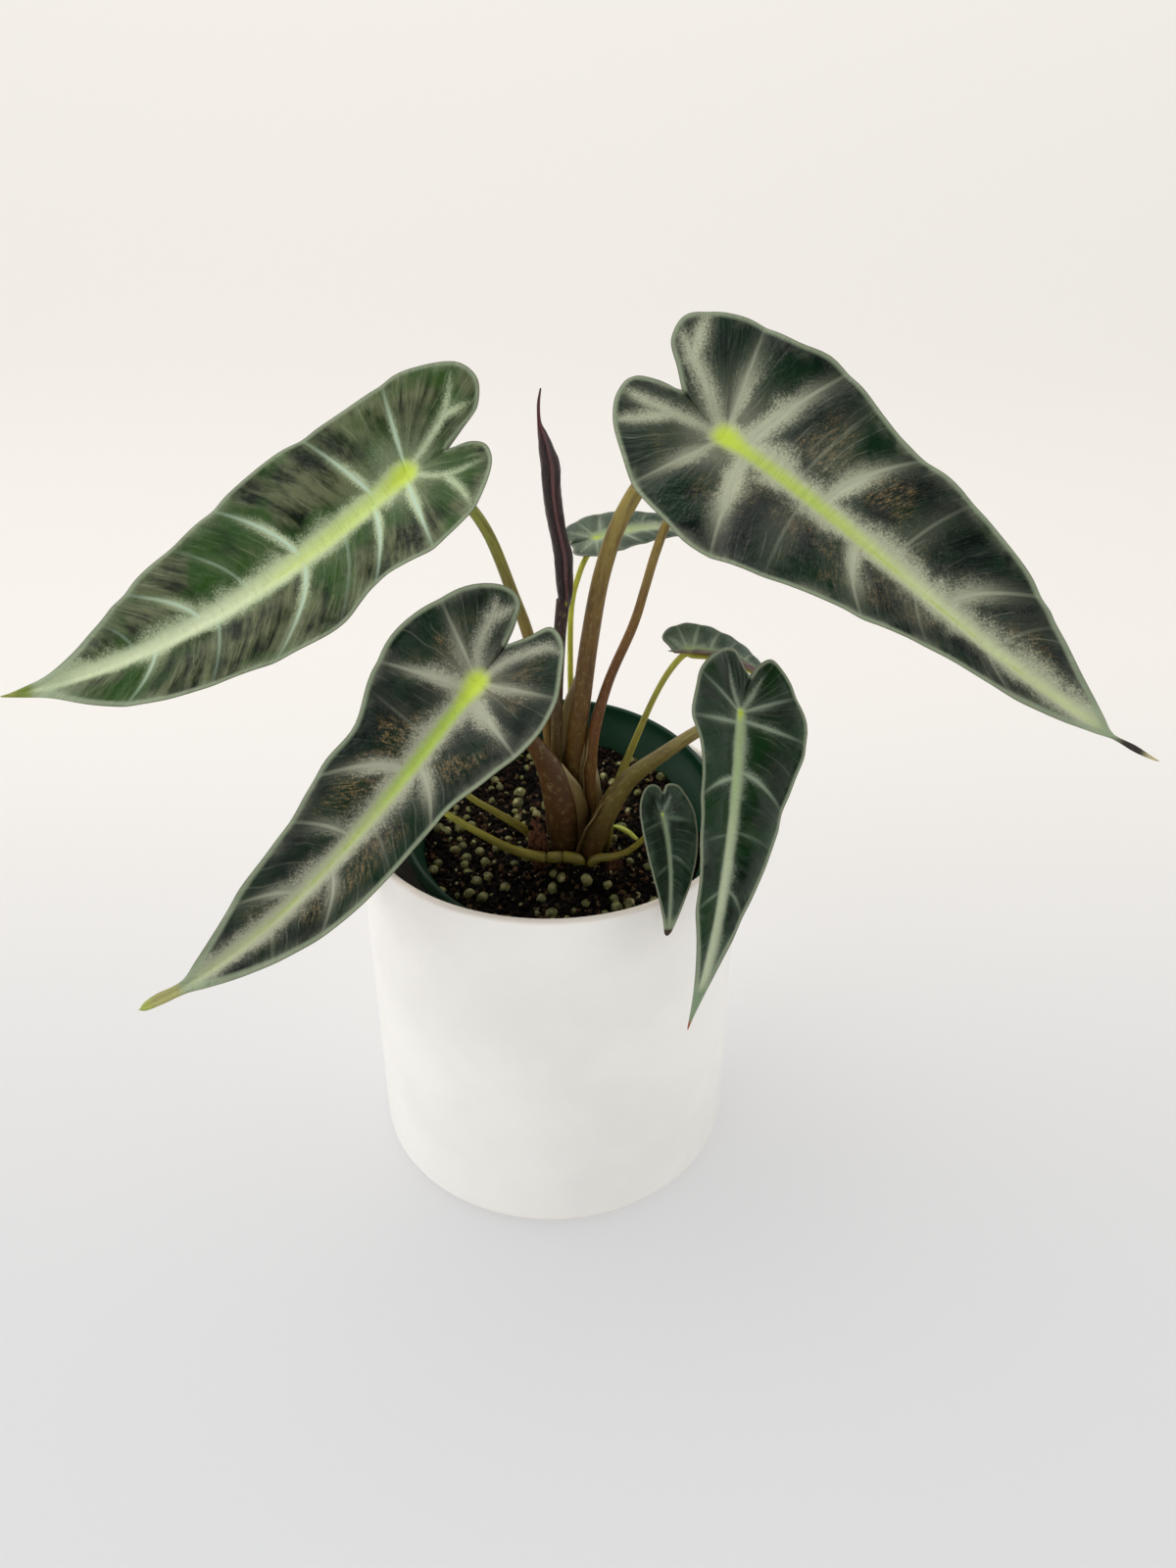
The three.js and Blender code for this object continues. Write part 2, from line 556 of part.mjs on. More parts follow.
// The corm's rounded body, grown outwards where it shapes its own hole in the soil
function cormGeometry(grow) {
  const r = CROWN_RADIUS + grow;
  return lathe(
    [[0, -CROWN_DEPTH - grow], [0.6 * r, -0.92 * CROWN_DEPTH - grow], [0.94 * r, -0.6 * CROWN_DEPTH],
      [r, -0.2 * CROWN_DEPTH], [r, 0.1 * CROWN_TOP], [0.9 * r, 0.5 * CROWN_TOP + grow],
      [0.62 * r, 0.8 * CROWN_TOP + grow], [0, CROWN_TOP + grow]],
    22,
  ).translate(CROWN_PLACE.x, CROWN_PLACE.y, soilTop);
}

// The corm with the flat remains of old leaf sheaths round it
function crownBody(grow) {
  const FLATNESS = 0.4;
  let body = toSolid(cormGeometry(grow));
  for (const sheath of OLD_SHEATHS) {
    const scale = limb(sheath, { flat: FLATNESS, grow: grow / FLATNESS }).applyMatrix4(intoLiner);
    body = body.add(toSolid(scale));
  }
  return body;
}

const soilTop = LINER_HEIGHT - SOIL_DEPTH_BELOW_RIM;

function soilHeight(x, y) {
  const away = Math.hypot(x - CROWN_PLACE.x, y - CROWN_PLACE.y) - CROWN_RADIUS;
  const fade = THREE.MathUtils.smoothstep(away, 1, 12);
  return soilTop + fade * SOIL_LUMP * (0.75 * bumps(x, y, 5) + 0.25 * bumps(y, x, 2.1)) - SEAT_GAP;
}

function soilGeometry() {
  const taper = (LINER_RIM_RADIUS - LINER_STEP - LINER_FOOT_RADIUS) / (LINER_HEIGHT - LINER_BAND - 2);
  const foot = LINER_FOOT_RADIUS - LINER_WALL - SEAT_GAP - LOOSE_GAP;
  const topRadius = foot + taper * soilTop - LOOSE_GAP;
  let soil = outwards(toSolid(bed(topRadius, LINER_FLOOR + SEAT_GAP, soilHeight, 8, 30, foot)));
  const random = seeded(41);
  for (let placed = 0; placed < GRAIN_COUNT; ) {
    const turn = 2 * Math.PI * random();
    const reach = (topRadius - 3) * Math.sqrt(random());
    const size = 1.1 + 1.1 * random();
    const x = reach * Math.cos(turn);
    const y = reach * Math.sin(turn);
    if (Math.hypot(x - CROWN_PLACE.x, y - CROWN_PLACE.y) < CROWN_RADIUS + 4) continue;
    const grain = new THREE.IcosahedronGeometry(size, 0)
      .rotateX(turn * 3)
      .translate(x, y, soilHeight(x, y) + 0.2 * size);
    soil = soil.add(toSolid(grain));
    placed += 1;
  }
  soil = soil.subtract(crownBody(SEAT_GAP));
  for (const drill of stemDrills()) soil = soil.subtract(drill);
  return soil;
}

// Clay pebbles fill the cover pot up to the tilted foot of the nursery pot
function pebbleBed(liner) {
  const toLiner = liner.matrixWorld.clone().invert();
  const facing = new THREE.Vector3(0, 0, 1).transformDirection(liner.matrixWorld);
  const slope = (x, y) =>
    LINER_FOOT.z - (facing.x * (x - LINER_FOOT.x) + facing.y * (y - LINER_FOOT.y)) / facing.z;
  const top = (x, y) => {
    const seat = slope(x, y) - SEAT_GAP;
    const local = new THREE.Vector3(x, y, seat).applyMatrix4(toLiner);
    const away = Math.hypot(local.x, local.y) - LINER_FOOT_RADIUS;
    const lump = 1.2 + bumps(x, y, 3.4);
    return away < 3 ? seat - 0.2 * lump : seat - 0.2 + Math.min(0.2 * (away - 3), 1) * lump;
  };
  const radius = COVER_RADIUS - COVER_WALL - 2 * LOOSE_GAP;
  return bed(radius, COVER_FLOOR + SEAT_GAP, top, 10, 30, radius - COVER_FLOOR_ROUND);
}

// The plain holes that the stems stand in, a little deeper than the stems, in the nursery pot's frame
function stemDrills() {
  const feet = [
    ...LEAVES.map((leaf) => [leaf.stem, leaf.columns > 3 ? LARGE_SIDES : SMALL_SIDES]),
    [SPEAR_STEM, LARGE_SIDES],
    [SHOOT, SMALL_SIDES],
  ];
  return feet.map(([[[x, y, z, radius], ...rest], sides]) => {
    const hole = [[x, y, z - SEAT_GAP - 0.1, radius], ...rest.slice(0, 2)];
    return toSolid(limb(hole, { sides, grow: SEAT_GAP + 0.08 }).applyMatrix4(intoLiner));
  });
}

// A furled blade: a limb whose section is a scroll with one overlapping edge
function scroll(stations) {
  const SIDES = 12;
  const STEP = 0.62;
  const curve = new THREE.CatmullRomCurve3(stations.map(vec), false, "catmullrom", 0.5);
  const count = (stations.length - 1) * 2;
  const points = [];
  const faces = [];
  for (let i = 0; i <= count; i++) {
    const centre = curve.getPoint(i / count);
    const from = Math.min(Math.floor(i / 2), stations.length - 2);
    const radius = THREE.MathUtils.lerp(stations[from][3], stations[from + 1][3], i / 2 - from);
    const twist = -2.2 + 0.12 * i;
    for (let k = 0; k < SIDES; k++) {
      const turn = (2 * Math.PI * k) / (SIDES - 1);
      const reach = k === SIDES - 1 ? radius * STEP : radius * (1 - (0.3 * (SIDES - 2 - k)) / (SIDES - 2));
      const angle = twist + (k === SIDES - 1 ? turn - 0.62 : turn);
      points.push([centre.x + reach * Math.cos(angle), centre.y + reach * Math.sin(angle), centre.z]);
    }
  }
  const at = (i, k) => i * SIDES + (k % SIDES);
  for (let i = 0; i < count; i++)
    for (let k = 0; k < SIDES; k++) {
      faces.push([at(i, k), at(i, k + 1), at(i + 1, k + 1)]);
      faces.push([at(i, k), at(i + 1, k + 1), at(i + 1, k)]);
    }
  const bottom = points.push(curve.getPoint(0).toArray()) - 1;
  const top = points.push(curve.getPoint(1).toArray()) - 1;
  for (let k = 0; k < SIDES; k++) {
    faces.push([bottom, at(0, k + 1), at(0, k)]);
    faces.push([top, at(count, k), at(count, k + 1)]);
  }
  return closedMesh(points, faces);
}

// Assembly
const plant = new THREE.Group();
const pots = new THREE.Group();
const liner = new THREE.Group();
liner.position.copy(LINER_FOOT);
liner.rotation.set(LINER_TILT, LINER_LEAN, 0);
pots.add(liner);
pots.updateMatrixWorld(true);
const intoLiner = liner.matrixWorld.clone().invert();

addMesh(pots, "cover_pot", coverPot(), glaze);
addMesh(pots, "pebble_bed", pebbleBed(liner), clay);
addMesh(liner, "nursery_pot", nurseryPot(), greenPlastic);
addMesh(liner, "soil", toGeometry(soilGeometry()), pottingMix);

for (const leaf of LEAVES) {
  const limbOptions = { sides: leaf.columns > 3 ? LARGE_SIDES : SMALL_SIDES };
  const blade = outwards(toSolid(bladeGeometry(leaf)));
  const leafSolid = outwards(toSolid(leafLimb(leaf, limbOptions))).add(blade);
  addMesh(plant, leaf.name, toGeometry(leafSolid), bladeGreen);
}

const spear = outwards(toSolid(limb(SPEAR_STEM))).add(outwards(toSolid(scroll(SPEAR_SCROLL))));
addMesh(plant, "spear_leaf", toGeometry(spear), spearSkin);
addMesh(plant, "new_shoot", limb(SHOOT, { sides: SMALL_SIDES, flat: 0.7 }), shootGreen);

let crown = crownBody(0);
for (const drill of stemDrills()) crown = crown.subtract(drill);
addMesh(liner, "crown", toGeometry(crown), cormSkin);

const pottedAlocasia = new THREE.Group();
pottedAlocasia.name = "potted_bambino_alocasia";
pottedAlocasia.add(pots, plant);

export default pottedAlocasia;
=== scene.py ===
# A dwarf alocasia with dark, pale-veined blades, in a tilted nursery pot inside a white cover pot.
# Places and sizes are written in millimetres, in the frame of the solids, and become metres in each mesh.
import math

import bpy
import numpy as np
from mathutils import Matrix, Vector, noise


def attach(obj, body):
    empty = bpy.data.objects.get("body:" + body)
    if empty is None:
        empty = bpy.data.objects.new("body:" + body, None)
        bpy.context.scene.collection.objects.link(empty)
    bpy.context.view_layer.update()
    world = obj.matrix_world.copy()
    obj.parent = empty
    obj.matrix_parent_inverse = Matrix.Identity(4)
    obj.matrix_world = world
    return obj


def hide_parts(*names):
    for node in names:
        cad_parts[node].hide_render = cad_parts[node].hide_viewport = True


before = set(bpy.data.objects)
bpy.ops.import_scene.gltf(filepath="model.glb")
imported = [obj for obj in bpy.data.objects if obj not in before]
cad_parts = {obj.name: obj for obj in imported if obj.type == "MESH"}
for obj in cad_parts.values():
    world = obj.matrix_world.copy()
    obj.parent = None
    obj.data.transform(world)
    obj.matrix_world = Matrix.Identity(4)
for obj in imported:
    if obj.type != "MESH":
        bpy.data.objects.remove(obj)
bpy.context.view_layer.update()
MM = 0.001

# Camera: it stands in front of the plant and above it, and looks down into the pot. Its place and angle come
# from the cover pot's rim and upright sides, as they are drawn in the reference view.
CAMERA_PLACE = Vector((12.0, -346.7, 355.9)) * MM
CAMERA_PITCH = math.radians(32.28)
CAMERA_ROLL = math.radians(0.29)
CAMERA_LENS = 29.25
CAMERA_SENSOR = 36.0

camera = bpy.data.objects.new("camera", bpy.data.cameras.new("camera"))
bpy.context.scene.collection.objects.link(camera)
camera.data.sensor_width = CAMERA_SENSOR
camera.data.lens = CAMERA_LENS
camera.data.clip_start = 0.01
looking_down = Matrix.Rotation(math.radians(90) - CAMERA_PITCH, 4, "X")
camera.matrix_world = Matrix.Translation(CAMERA_PLACE) @ looking_down @ Matrix.Rotation(CAMERA_ROLL, 4, "Z")
bpy.context.scene.camera = camera

# Studio: a pale sheet of paper that runs level under the pot and curves up behind it, in an evenly bright
# room with a broad soft light above, a smaller window to the front left and a faint low light in front. The
# sheet also glows with light of its own, a painted light that keeps the shadows on it faint.
SHEET_WIDTH = 5200
SHEET_FRONT = -1500
SHEET_BEND = 900
SHEET_BEND_RADIUS = 500
SHEET_TOP = 2600
SHEET_DROP = 0.2
SHEET_STEPS = 24
PAPER_GLOW = 0.62
PAPER_NEAR = (217, 218, 220)
PAPER_FAR = (243, 239, 234)
DIM_SIDE = (0.1, -0.55, 0.83)
DIM_FROM = 0.55
DIM_FULLY = 0.84
ROOM_LIGHT = 1.66
ROOM_TINT = (250, 249, 246)
DIM_LIGHT = 0.1
AIM = Vector((0, 0, 120)) * MM
# Each light's place, width in metres, power in watts and tint
LIGHTS = {
    "overhead_light": ((-500, 250, 1500), 1.3, 8, (255, 251, 245)),
    "window_light": ((-820, -1130, 1170), 0.85, 3.4, (250, 250, 255)),
    "low_light": ((350, -1250, 60), 1.0, 1.6, (255, 250, 240)),
}


def colour(*tint):
    """A colour as the eye reads it, 0 to 255, turned into the light values that Blender mixes"""
    light = [c / 255 / 12.92 if c <= 10 else ((c / 255 + 0.055) / 1.055) ** 2.4 for c in tint]
    return (*light, 1.0)


def new_piece(name, points, faces, *finishes, smooth=True):
    """A mesh object at the origin, from points in millimetres, with its finishes in order"""
    mesh = bpy.data.meshes.new(name)
    mesh.from_pydata(np.asarray(points, float) * MM, [], faces)
    mesh.polygons.foreach_set("use_smooth", [smooth] * len(mesh.polygons))
    for finish in finishes:
        mesh.materials.append(finish)
    piece = bpy.data.objects.new(name, mesh)
    bpy.context.scene.collection.objects.link(piece)
    return piece


def new_finish(name):
    """An empty finish with its node tree and its shader"""
    finish = bpy.data.materials.new(name)
    finish.use_nodes = True
    return finish, finish.node_tree, finish.node_tree.nodes["Principled BSDF"]


def add(tree, kind, inputs=None, **settings):
    """A node with its settings, its inputs set to values or joined to other nodes' sockets"""
    made = tree.nodes.new(kind)
    for key, value in settings.items():
        setattr(made, key, value)
    for key, value in (inputs or {}).items():
        if isinstance(value, bpy.types.NodeSocket):
            tree.links.new(value, made.inputs[key])
        else:
            made.inputs[key].default_value = value
    return made


def vectors(tree, operation, first, second, output=0):
    """The result of one sum on places or directions"""
    return add(tree, "ShaderNodeVectorMath", {0: first, 1: second}, operation=operation).outputs[output]


def fade(tree, value, start, end, low=0.0, high=1.0):
    """A soft change from low to high as the value goes from start to end"""
    inputs = {"Value": value, "From Min": start, "From Max": end, "To Min": low, "To Max": high}
    return add(tree, "ShaderNodeMapRange", inputs, interpolation_type="SMOOTHSTEP").outputs[0]


def mixed(tree, share, first, second):
    """Two colours mixed by a share"""
    node = add(tree, "ShaderNodeMix", {0: share, 6: first, 7: second}, data_type="RGBA")
    return node.outputs[2]


def grain(tree, place, scale, detail=3.0, roughness=0.55):
    """Soft noise from 0 to 1, its grain being about 1 metre over the scale"""
    inputs = {"Vector": place, "Scale": scale, "Detail": detail, "Roughness": roughness}
    return add(tree, "ShaderNodeTexNoise", inputs).outputs[0]


def object_place(tree):
    return add(tree, "ShaderNodeTexCoord").outputs["Object"]


def dress(tree, shader, skin, roughness, height, relief, shine=None):
    """Joins a skin, a roughness and a relief, whose full height is in millimetres, to a shader"""
    tree.links.new(skin, shader.inputs["Base Color"])
    bump = add(tree, "ShaderNodeBump", {"Height": height, "Distance": relief * MM})
    tree.links.new(bump.outputs[0], shader.inputs["Normal"])
    if isinstance(roughness, bpy.types.NodeSocket):
        tree.links.new(roughness, shader.inputs["Roughness"])
    else:
        shader.inputs["Roughness"].default_value = roughness
    if shine is not None:
        shader.inputs["Specular IOR Level"].default_value = shine


def paper_finish():
    finish, tree, shader = new_finish("studio_paper")
    place = object_place(tree)
    depth = add(tree, "ShaderNodeSeparateXYZ", {0: place}).outputs["Y"]
    tone = mixed(tree, fade(tree, depth, -0.2, 0.4), colour(*PAPER_NEAR), colour(*PAPER_FAR))
    # The sheet glows in its own tone: painted light that fills the shadows cast on it
    tree.links.new(tone, shader.inputs["Emission Color"])
    shader.inputs["Emission Strength"].default_value = PAPER_GLOW
    unlit = mixed(tree, PAPER_GLOW, tone, colour(0, 0, 0))
    dress(tree, shader, unlit, 0.9, grain(tree, place, 900), 0.02)
    return finish


def paper_sheet():
    bend = SHEET_BEND_RADIUS
    turns = [math.pi / 2 * step / SHEET_STEPS for step in range(SHEET_STEPS + 1)]
    line = [(SHEET_FRONT, 0.0)]
    line += [(SHEET_BEND + bend * math.sin(turn), bend * (1 - math.cos(turn))) for turn in turns]
    line += [(SHEET_BEND + bend, SHEET_TOP)]
    points = [(x, y, z - SHEET_DROP) for y, z in line for x in (-SHEET_WIDTH / 2, SHEET_WIDTH / 2)]
    faces = [(2 * k, 2 * k + 1, 2 * k + 3, 2 * k + 2) for k in range(len(line) - 1)]
    return new_piece("paper_sheet", points, faces, paper_finish())


def soft_light(name, place, size, power, tint):
    lamp = bpy.data.lights.new(name, "AREA")
    lamp.shape = "DISK"
    lamp.size = size
    lamp.energy = power
    lamp.color = colour(*tint)[:3]
    light = bpy.data.objects.new(name, lamp)
    place = Vector(place) * MM
    towards = (AIM - place).to_track_quat("-Z", "Y").to_matrix().to_4x4()
    light.matrix_world = Matrix.Translation(place) @ towards
    bpy.context.scene.collection.objects.link(light)


def bright_room():
    """Even light from all round, dimmer from above the camera, where the room is darker"""
    room = bpy.data.worlds.new("room")
    room.use_nodes = True
    tree = room.node_tree
    toward = add(tree, "ShaderNodeTexCoord").outputs["Generated"]
    above = vectors(tree, "DOT_PRODUCT", toward, DIM_SIDE, "Value")
    strength = fade(tree, above, DIM_FROM, DIM_FULLY, ROOM_LIGHT, DIM_LIGHT)
    tree.links.new(strength, tree.nodes["Background"].inputs["Strength"])
    tree.nodes["Background"].inputs["Color"].default_value = colour(*ROOM_TINT)
    bpy.context.scene.world = room


paper_sheet()
bright_room()
for light_name, light in LIGHTS.items():
    soft_light(light_name, *light)
bpy.context.scene.view_settings.view_transform = "Standard"

# Cover pot: a slip-cast stoneware cylinder with a satin white glaze. It is turned round and rounded at its
# foot and lip, where the glaze breaks a little thinner and warmer.
COVER_RADIUS = 62.0
COVER_HEIGHT = 129.5
COVER_WALL = 2.6
COVER_FLOOR = 5.0
COVER_AROUND = 160
COVER_FOOT_ROUND = 3.4
COVER_FLOOR_ROUND = 5
GLAZE = (243, 241, 237)
GLAZE_CLOUD = (236, 234, 230)
GLAZE_THIN = (229, 222, 211)
GLAZE_INSIDE = (226, 222, 214)


def sums(tree, operation, *values):
    """The result of one sum on numbers or sockets"""
    return add(tree, "ShaderNodeMath", dict(enumerate(values)), operation=operation).outputs[0]


def chained(operation):
    """A function that joins any count of numbers or sockets by one operation"""
    def joined(tree, first, *others):
        for value in others:
            first = sums(tree, operation, first, value)
        return first
    return joined


times = chained("MULTIPLY")
plus = chained("ADD")
most = chained("MAXIMUM")


def scaled(tree, place, factors):
    return vectors(tree, "MULTIPLY", place, factors)


def rounded(corner, radius, start, end, steps=6):
    """Points of a quarter turn about a corner's inner point, from one angle to another in degrees"""
    turns = [math.radians(start + (end - start) * k / steps) for k in range(steps + 1)]
    return [(corner[0] + radius * math.cos(t), corner[1] + radius * math.sin(t)) for t in turns]


def turned(profile, around):
    """Points and faces of a profile of (radius, height) turned round the upright axis, closed at the axis"""
    points = [(0, 0, profile[0][1])]
    rings = profile[1:-1]
    for radius, height in rings:
        for k in range(around):
            turn = 2 * math.pi * k / around
            points.append((radius * math.cos(turn), radius * math.sin(turn), height))
    points.append((0, 0, profile[-1][1]))
    last = len(points) - 1
    faces = []
    for k in range(around):
        following = (k + 1) % around
        faces.append((0, 1 + following, 1 + k))
        for ring in range(len(rings) - 1):
            low, high = 1 + ring * around, 1 + (ring + 1) * around
            faces.append((low + k, low + following, high + following, high + k))
        top = 1 + (len(rings) - 1) * around
        faces.append((top + k, top + following, last))
    return np.array(points), faces


def glaze_finish():
    finish, tree, shader = new_finish("white_glaze")
    place = object_place(tree)
    out = vectors(tree, "LENGTH", scaled(tree, place, (1, 1, 0)), (0, 0, 0), "Value")
    height = add(tree, "ShaderNodeSeparateXYZ", {0: place}).outputs["Z"]
    lip = fade(tree, height, (COVER_HEIGHT - 1.6) * MM, COVER_HEIGHT * MM)
    foot = fade(tree, height, 3.5 * MM, 0.5 * MM)
    inside = fade(tree, out, (COVER_RADIUS - 1.4) * MM, (COVER_RADIUS - 2.4) * MM)
    cloud = fade(tree, grain(tree, place, 22, 4), 0.35, 0.7)
    tone = mixed(tree, cloud, colour(*GLAZE), colour(*GLAZE_CLOUD))
    tone = mixed(tree, most(tree, lip, foot), tone, colour(*GLAZE_THIN))
    tone = mixed(tree, times(tree, inside, 0.5), tone, colour(*GLAZE_INSIDE))
    uneven = plus(tree, times(tree, grain(tree, place, 60, 2), 0.8), grain(tree, place, 1400, 1))
    gloss = fade(tree, grain(tree, place, 90, 3), 0.3, 0.75, 0.3, 0.44)
    dress(tree, shader, tone, gloss, uneven, 0.035)
    shader.inputs["Coat Weight"].default_value = 0.25
    shader.inputs["Coat Roughness"].default_value = 0.2
    return finish


def cover_pot():
    inner = COVER_RADIUS - COVER_WALL
    lip, foot, corner = COVER_WALL / 2, COVER_FOOT_ROUND, COVER_FLOOR_ROUND
    profile = [(0, 0), (57.2, 0)]
    profile += rounded((COVER_RADIUS - foot, foot), foot, -90, 0)
    profile += [(COVER_RADIUS, 30), (COVER_RADIUS, 60), (COVER_RADIUS, 100)]
    profile += rounded((COVER_RADIUS - lip, COVER_HEIGHT - lip), lip, 0, 180, 10)
    profile += [(inner, 90), (inner, 50)]
    profile += rounded((inner - corner, COVER_FLOOR + corner), corner, 0, -90)
    profile += [(20, COVER_FLOOR), (0, COVER_FLOOR)]
    points, faces = turned(profile, COVER_AROUND)
    return new_piece("cover_pot_glazed", points, faces, glaze_finish())


cover = cover_pot()
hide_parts("cover_pot")
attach(cover, "root")

# Pebble bed: loose fired clay pebbles, poured into the cover pot, on which the tilted nursery pot stands.
# Only a dark sliver of it is seen between the two pots.
PEBBLE_SPACING = 4.6
PEBBLE_FACING = 0.35
CLAY_DARK = (96, 62, 44)
CLAY_LIGHT = (146, 98, 70)
LUMP_WIDTH = 0.8
LUMP_GRAIN = 700.0
ANY_TURN = 6.3


def copy_of_node(node, name):
    """A merged copy of one of the solids, for a finer piece to be made from"""
    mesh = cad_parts[node].data.copy()
    piece = bpy.data.objects.new(name, mesh)
    bpy.context.scene.collection.objects.link(piece)
    weld = piece.modifiers.new("weld", "WELD")
    weld.merge_threshold = 1e-5
    return settled(piece, name)


def settled(piece, name=None):
    """The piece with its modifiers applied, as a plain mesh"""
    shape = bpy.context.evaluated_depsgraph_get()
    made = bpy.data.meshes.new_from_object(piece.evaluated_get(shape))
    piece.modifiers.clear()
    piece.data = made
    if name:
        piece.name = name
        made.name = name
    return piece


def scatter_tree(name, finish, seed, density, sizes, flatness, lumps, detail=1, clumping=0.0, apart=0.0):
    """A geometry tree that strews lumps over a surface's upward faces and leaves the surface itself out.
    Sizes and lumps are in millimetres. A least distance keeps the lumps apart"""
    tree = bpy.data.node_groups.new(name, "GeometryNodeTree")
    tree.interface.new_socket("Surface", in_out="INPUT", socket_type="NodeSocketGeometry")
    for label, value in (("Lumps per square metre", density), ("Smallest", sizes[0] * MM),
                         ("Largest", sizes[1] * MM), ("Flatness", flatness), ("Lumpiness", lumps * MM),
                         ("Clumping", clumping), ("Least distance", apart * MM)):
        tree.interface.new_socket(label, in_out="INPUT", socket_type="NodeSocketFloat").default_value = value
    tree.interface.new_socket("Lumps", in_out="OUTPUT", socket_type="NodeSocketGeometry")
    given = tree.nodes.new("NodeGroupInput").outputs
    normal = add(tree, "GeometryNodeInputNormal").outputs[0]
    facing = add(tree, "ShaderNodeSeparateXYZ", {0: normal}).outputs["Z"]
    upward = add(tree, "FunctionNodeCompare", {0: facing, 1: PEBBLE_FACING}, operation="GREATER_THAN")
    where = add(tree, "GeometryNodeInputPosition").outputs[0]
    clump = grain(tree, where, 120, 2)
    share = fade(tree, clump, sums(tree, "SUBTRACT", given["Clumping"], 0.05), given["Clumping"])
    density = given["Lumps per square metre"]
    spread = {"Mesh": given["Surface"], "Selection": upward.outputs[0], "Seed": seed}
    if apart:
        spread |= {"Distance Min": given["Least distance"], "Density Max": density, "Density Factor": share}
    else:
        spread["Density"] = times(tree, density, share)
    strewn = add(tree, "GeometryNodeDistributePointsOnFaces", spread,
                 distribute_method="POISSON" if apart else "RANDOM")
    size = add(tree, "FunctionNodeRandomValue",
               {2: given["Smallest"], 3: given["Largest"], "Seed": seed + 1}).outputs[1]
    turn = add(tree, "FunctionNodeRandomValue", {0: (0, 0, 0), 1: (ANY_TURN,) * 3, "Seed": seed + 2},
               data_type="FLOAT_VECTOR").outputs[0]
    lump = add(tree, "GeometryNodeMeshIcoSphere", {"Radius": 1.0, "Subdivisions": detail})
    stretch = add(tree, "ShaderNodeCombineXYZ", {0: 1.0, 1: LUMP_WIDTH, 2: given["Flatness"]}).outputs[0]
    flat = add(tree, "GeometryNodeTransform", {"Geometry": lump.outputs[0], "Scale": stretch})
    laid = add(tree, "GeometryNodeInstanceOnPoints",
               {"Points": strewn.outputs[0], "Instance": flat.outputs[0], "Rotation": turn, "Scale": size})
    real = add(tree, "GeometryNodeRealizeInstances", {0: laid.outputs[0]})
    rough = add(tree, "ShaderNodeTexNoise", {"Vector": where, "Scale": LUMP_GRAIN, "Detail": 1.0}).outputs[1]
    centred = vectors(tree, "SUBTRACT", rough, (0.5, 0.5, 0.5))
    shift = add(tree, "ShaderNodeVectorMath", {0: centred, "Scale": given["Lumpiness"]}, operation="SCALE")
    moved = add(tree, "GeometryNodeSetPosition", {"Geometry": real.outputs[0], "Offset": shift.outputs[0]})
    soft = add(tree, "GeometryNodeSetShadeSmooth", {0: moved.outputs[0]})
    dressed = add(tree, "GeometryNodeSetMaterial", {"Geometry": soft.outputs[0], "Material": finish})
    add(tree, "NodeGroupOutput", {0: dressed.outputs[0]})
    return tree


def strewn_piece(name, surface, tree):
    piece = bpy.data.objects.new(name, surface.data.copy())
    bpy.context.scene.collection.objects.link(piece)
    piece.modifiers.new("strewn", "NODES").node_group = tree
    return settled(piece, name)


def pebble_finish():
    finish, tree, shader = new_finish("clay_pebbles")
    place = object_place(tree)
    tone = mixed(tree, grain(tree, place, 160, 2), colour(*CLAY_DARK), colour(*CLAY_LIGHT))
    dress(tree, shader, tone, 0.92, grain(tree, place, 2600, 2), 0.25)
    return finish


pebble_look = pebble_finish()
bed = copy_of_node("pebble_bed", "pebble_bed_fill")
bed.data.materials.clear()
bed.data.materials.append(pebble_look)
pebbles = strewn_piece("pebble_bed_top", bed, scatter_tree(
    "strewn pebbles", pebble_look, seed=11, density=1e6 / PEBBLE_SPACING**2, sizes=(1.3, 2.2), flatness=0.75,
    lumps=0.5, detail=2))
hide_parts("pebble_bed")
for piece in (bed, pebbles):
    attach(piece, "root")

# Nursery pot: a thin pot of dark green polypropylene with a stepped band round its rim, moulded in one shot.
# It leans back, so that its rear wall stands out above the soil.
LINER_RIM_RADIUS = 53.0
LINER_FOOT_RADIUS = 35.0
LINER_HEIGHT = 82.0
LINER_WALL = 1.2
LINER_BAND = 6.5
LINER_BAND_STEP = 3.4
LINER_FLOOR = 1.4
LINER_LIP_ROUND = 0.85
LINER_BAND_ROUND = 0.7
LINER_FOOT_ROUND = 1.4
LINER_BEND_RADIUS = 41.0
LINER_BEND_HEIGHT = 32
LINER_AROUND = 128
LINER_FOOT = Vector((1.6, 23.4, 46.0))
LINER_TILT = math.radians(14)
LINER_LEAN = math.radians(1.7)
DRAIN_HOLES = 6
DRAIN_RADIUS = 4.0
DRAIN_REACH = 0.66
LINER_DARK = (7, 44, 27)
LINER_LIGHT = (13, 58, 36)
LINER_DUST = (60, 70, 54)
liner_turn = Matrix.Rotation(LINER_TILT, 4, "X") @ Matrix.Rotation(LINER_LEAN, 4, "Y")
liner_place = Matrix.Translation(LINER_FOOT) @ liner_turn
from_liner = np.array(liner_place)


def in_liner(points):
    """Points of the nursery pot's own frame, put where the pot stands"""
    return np.asarray(points) @ from_liner[:3, :3].T + from_liner[:3, 3]


def green_plastic():
    finish, tree, shader = new_finish("green_plastic")
    place = object_place(tree)
    tone = mixed(tree, grain(tree, place, 30, 3), colour(*LINER_DARK), colour(*LINER_LIGHT))
    dust = fade(tree, grain(tree, place, 240, 4, 0.7), 0.56, 0.75)
    tone = mixed(tree, times(tree, dust, 0.2), tone, colour(*LINER_DUST))
    gloss = fade(tree, grain(tree, place, 70), 0.3, 0.7, 0.36, 0.5)
    dress(tree, shader, tone, gloss, grain(tree, place, 1800, 2), 0.03, shine=0.25)
    return finish


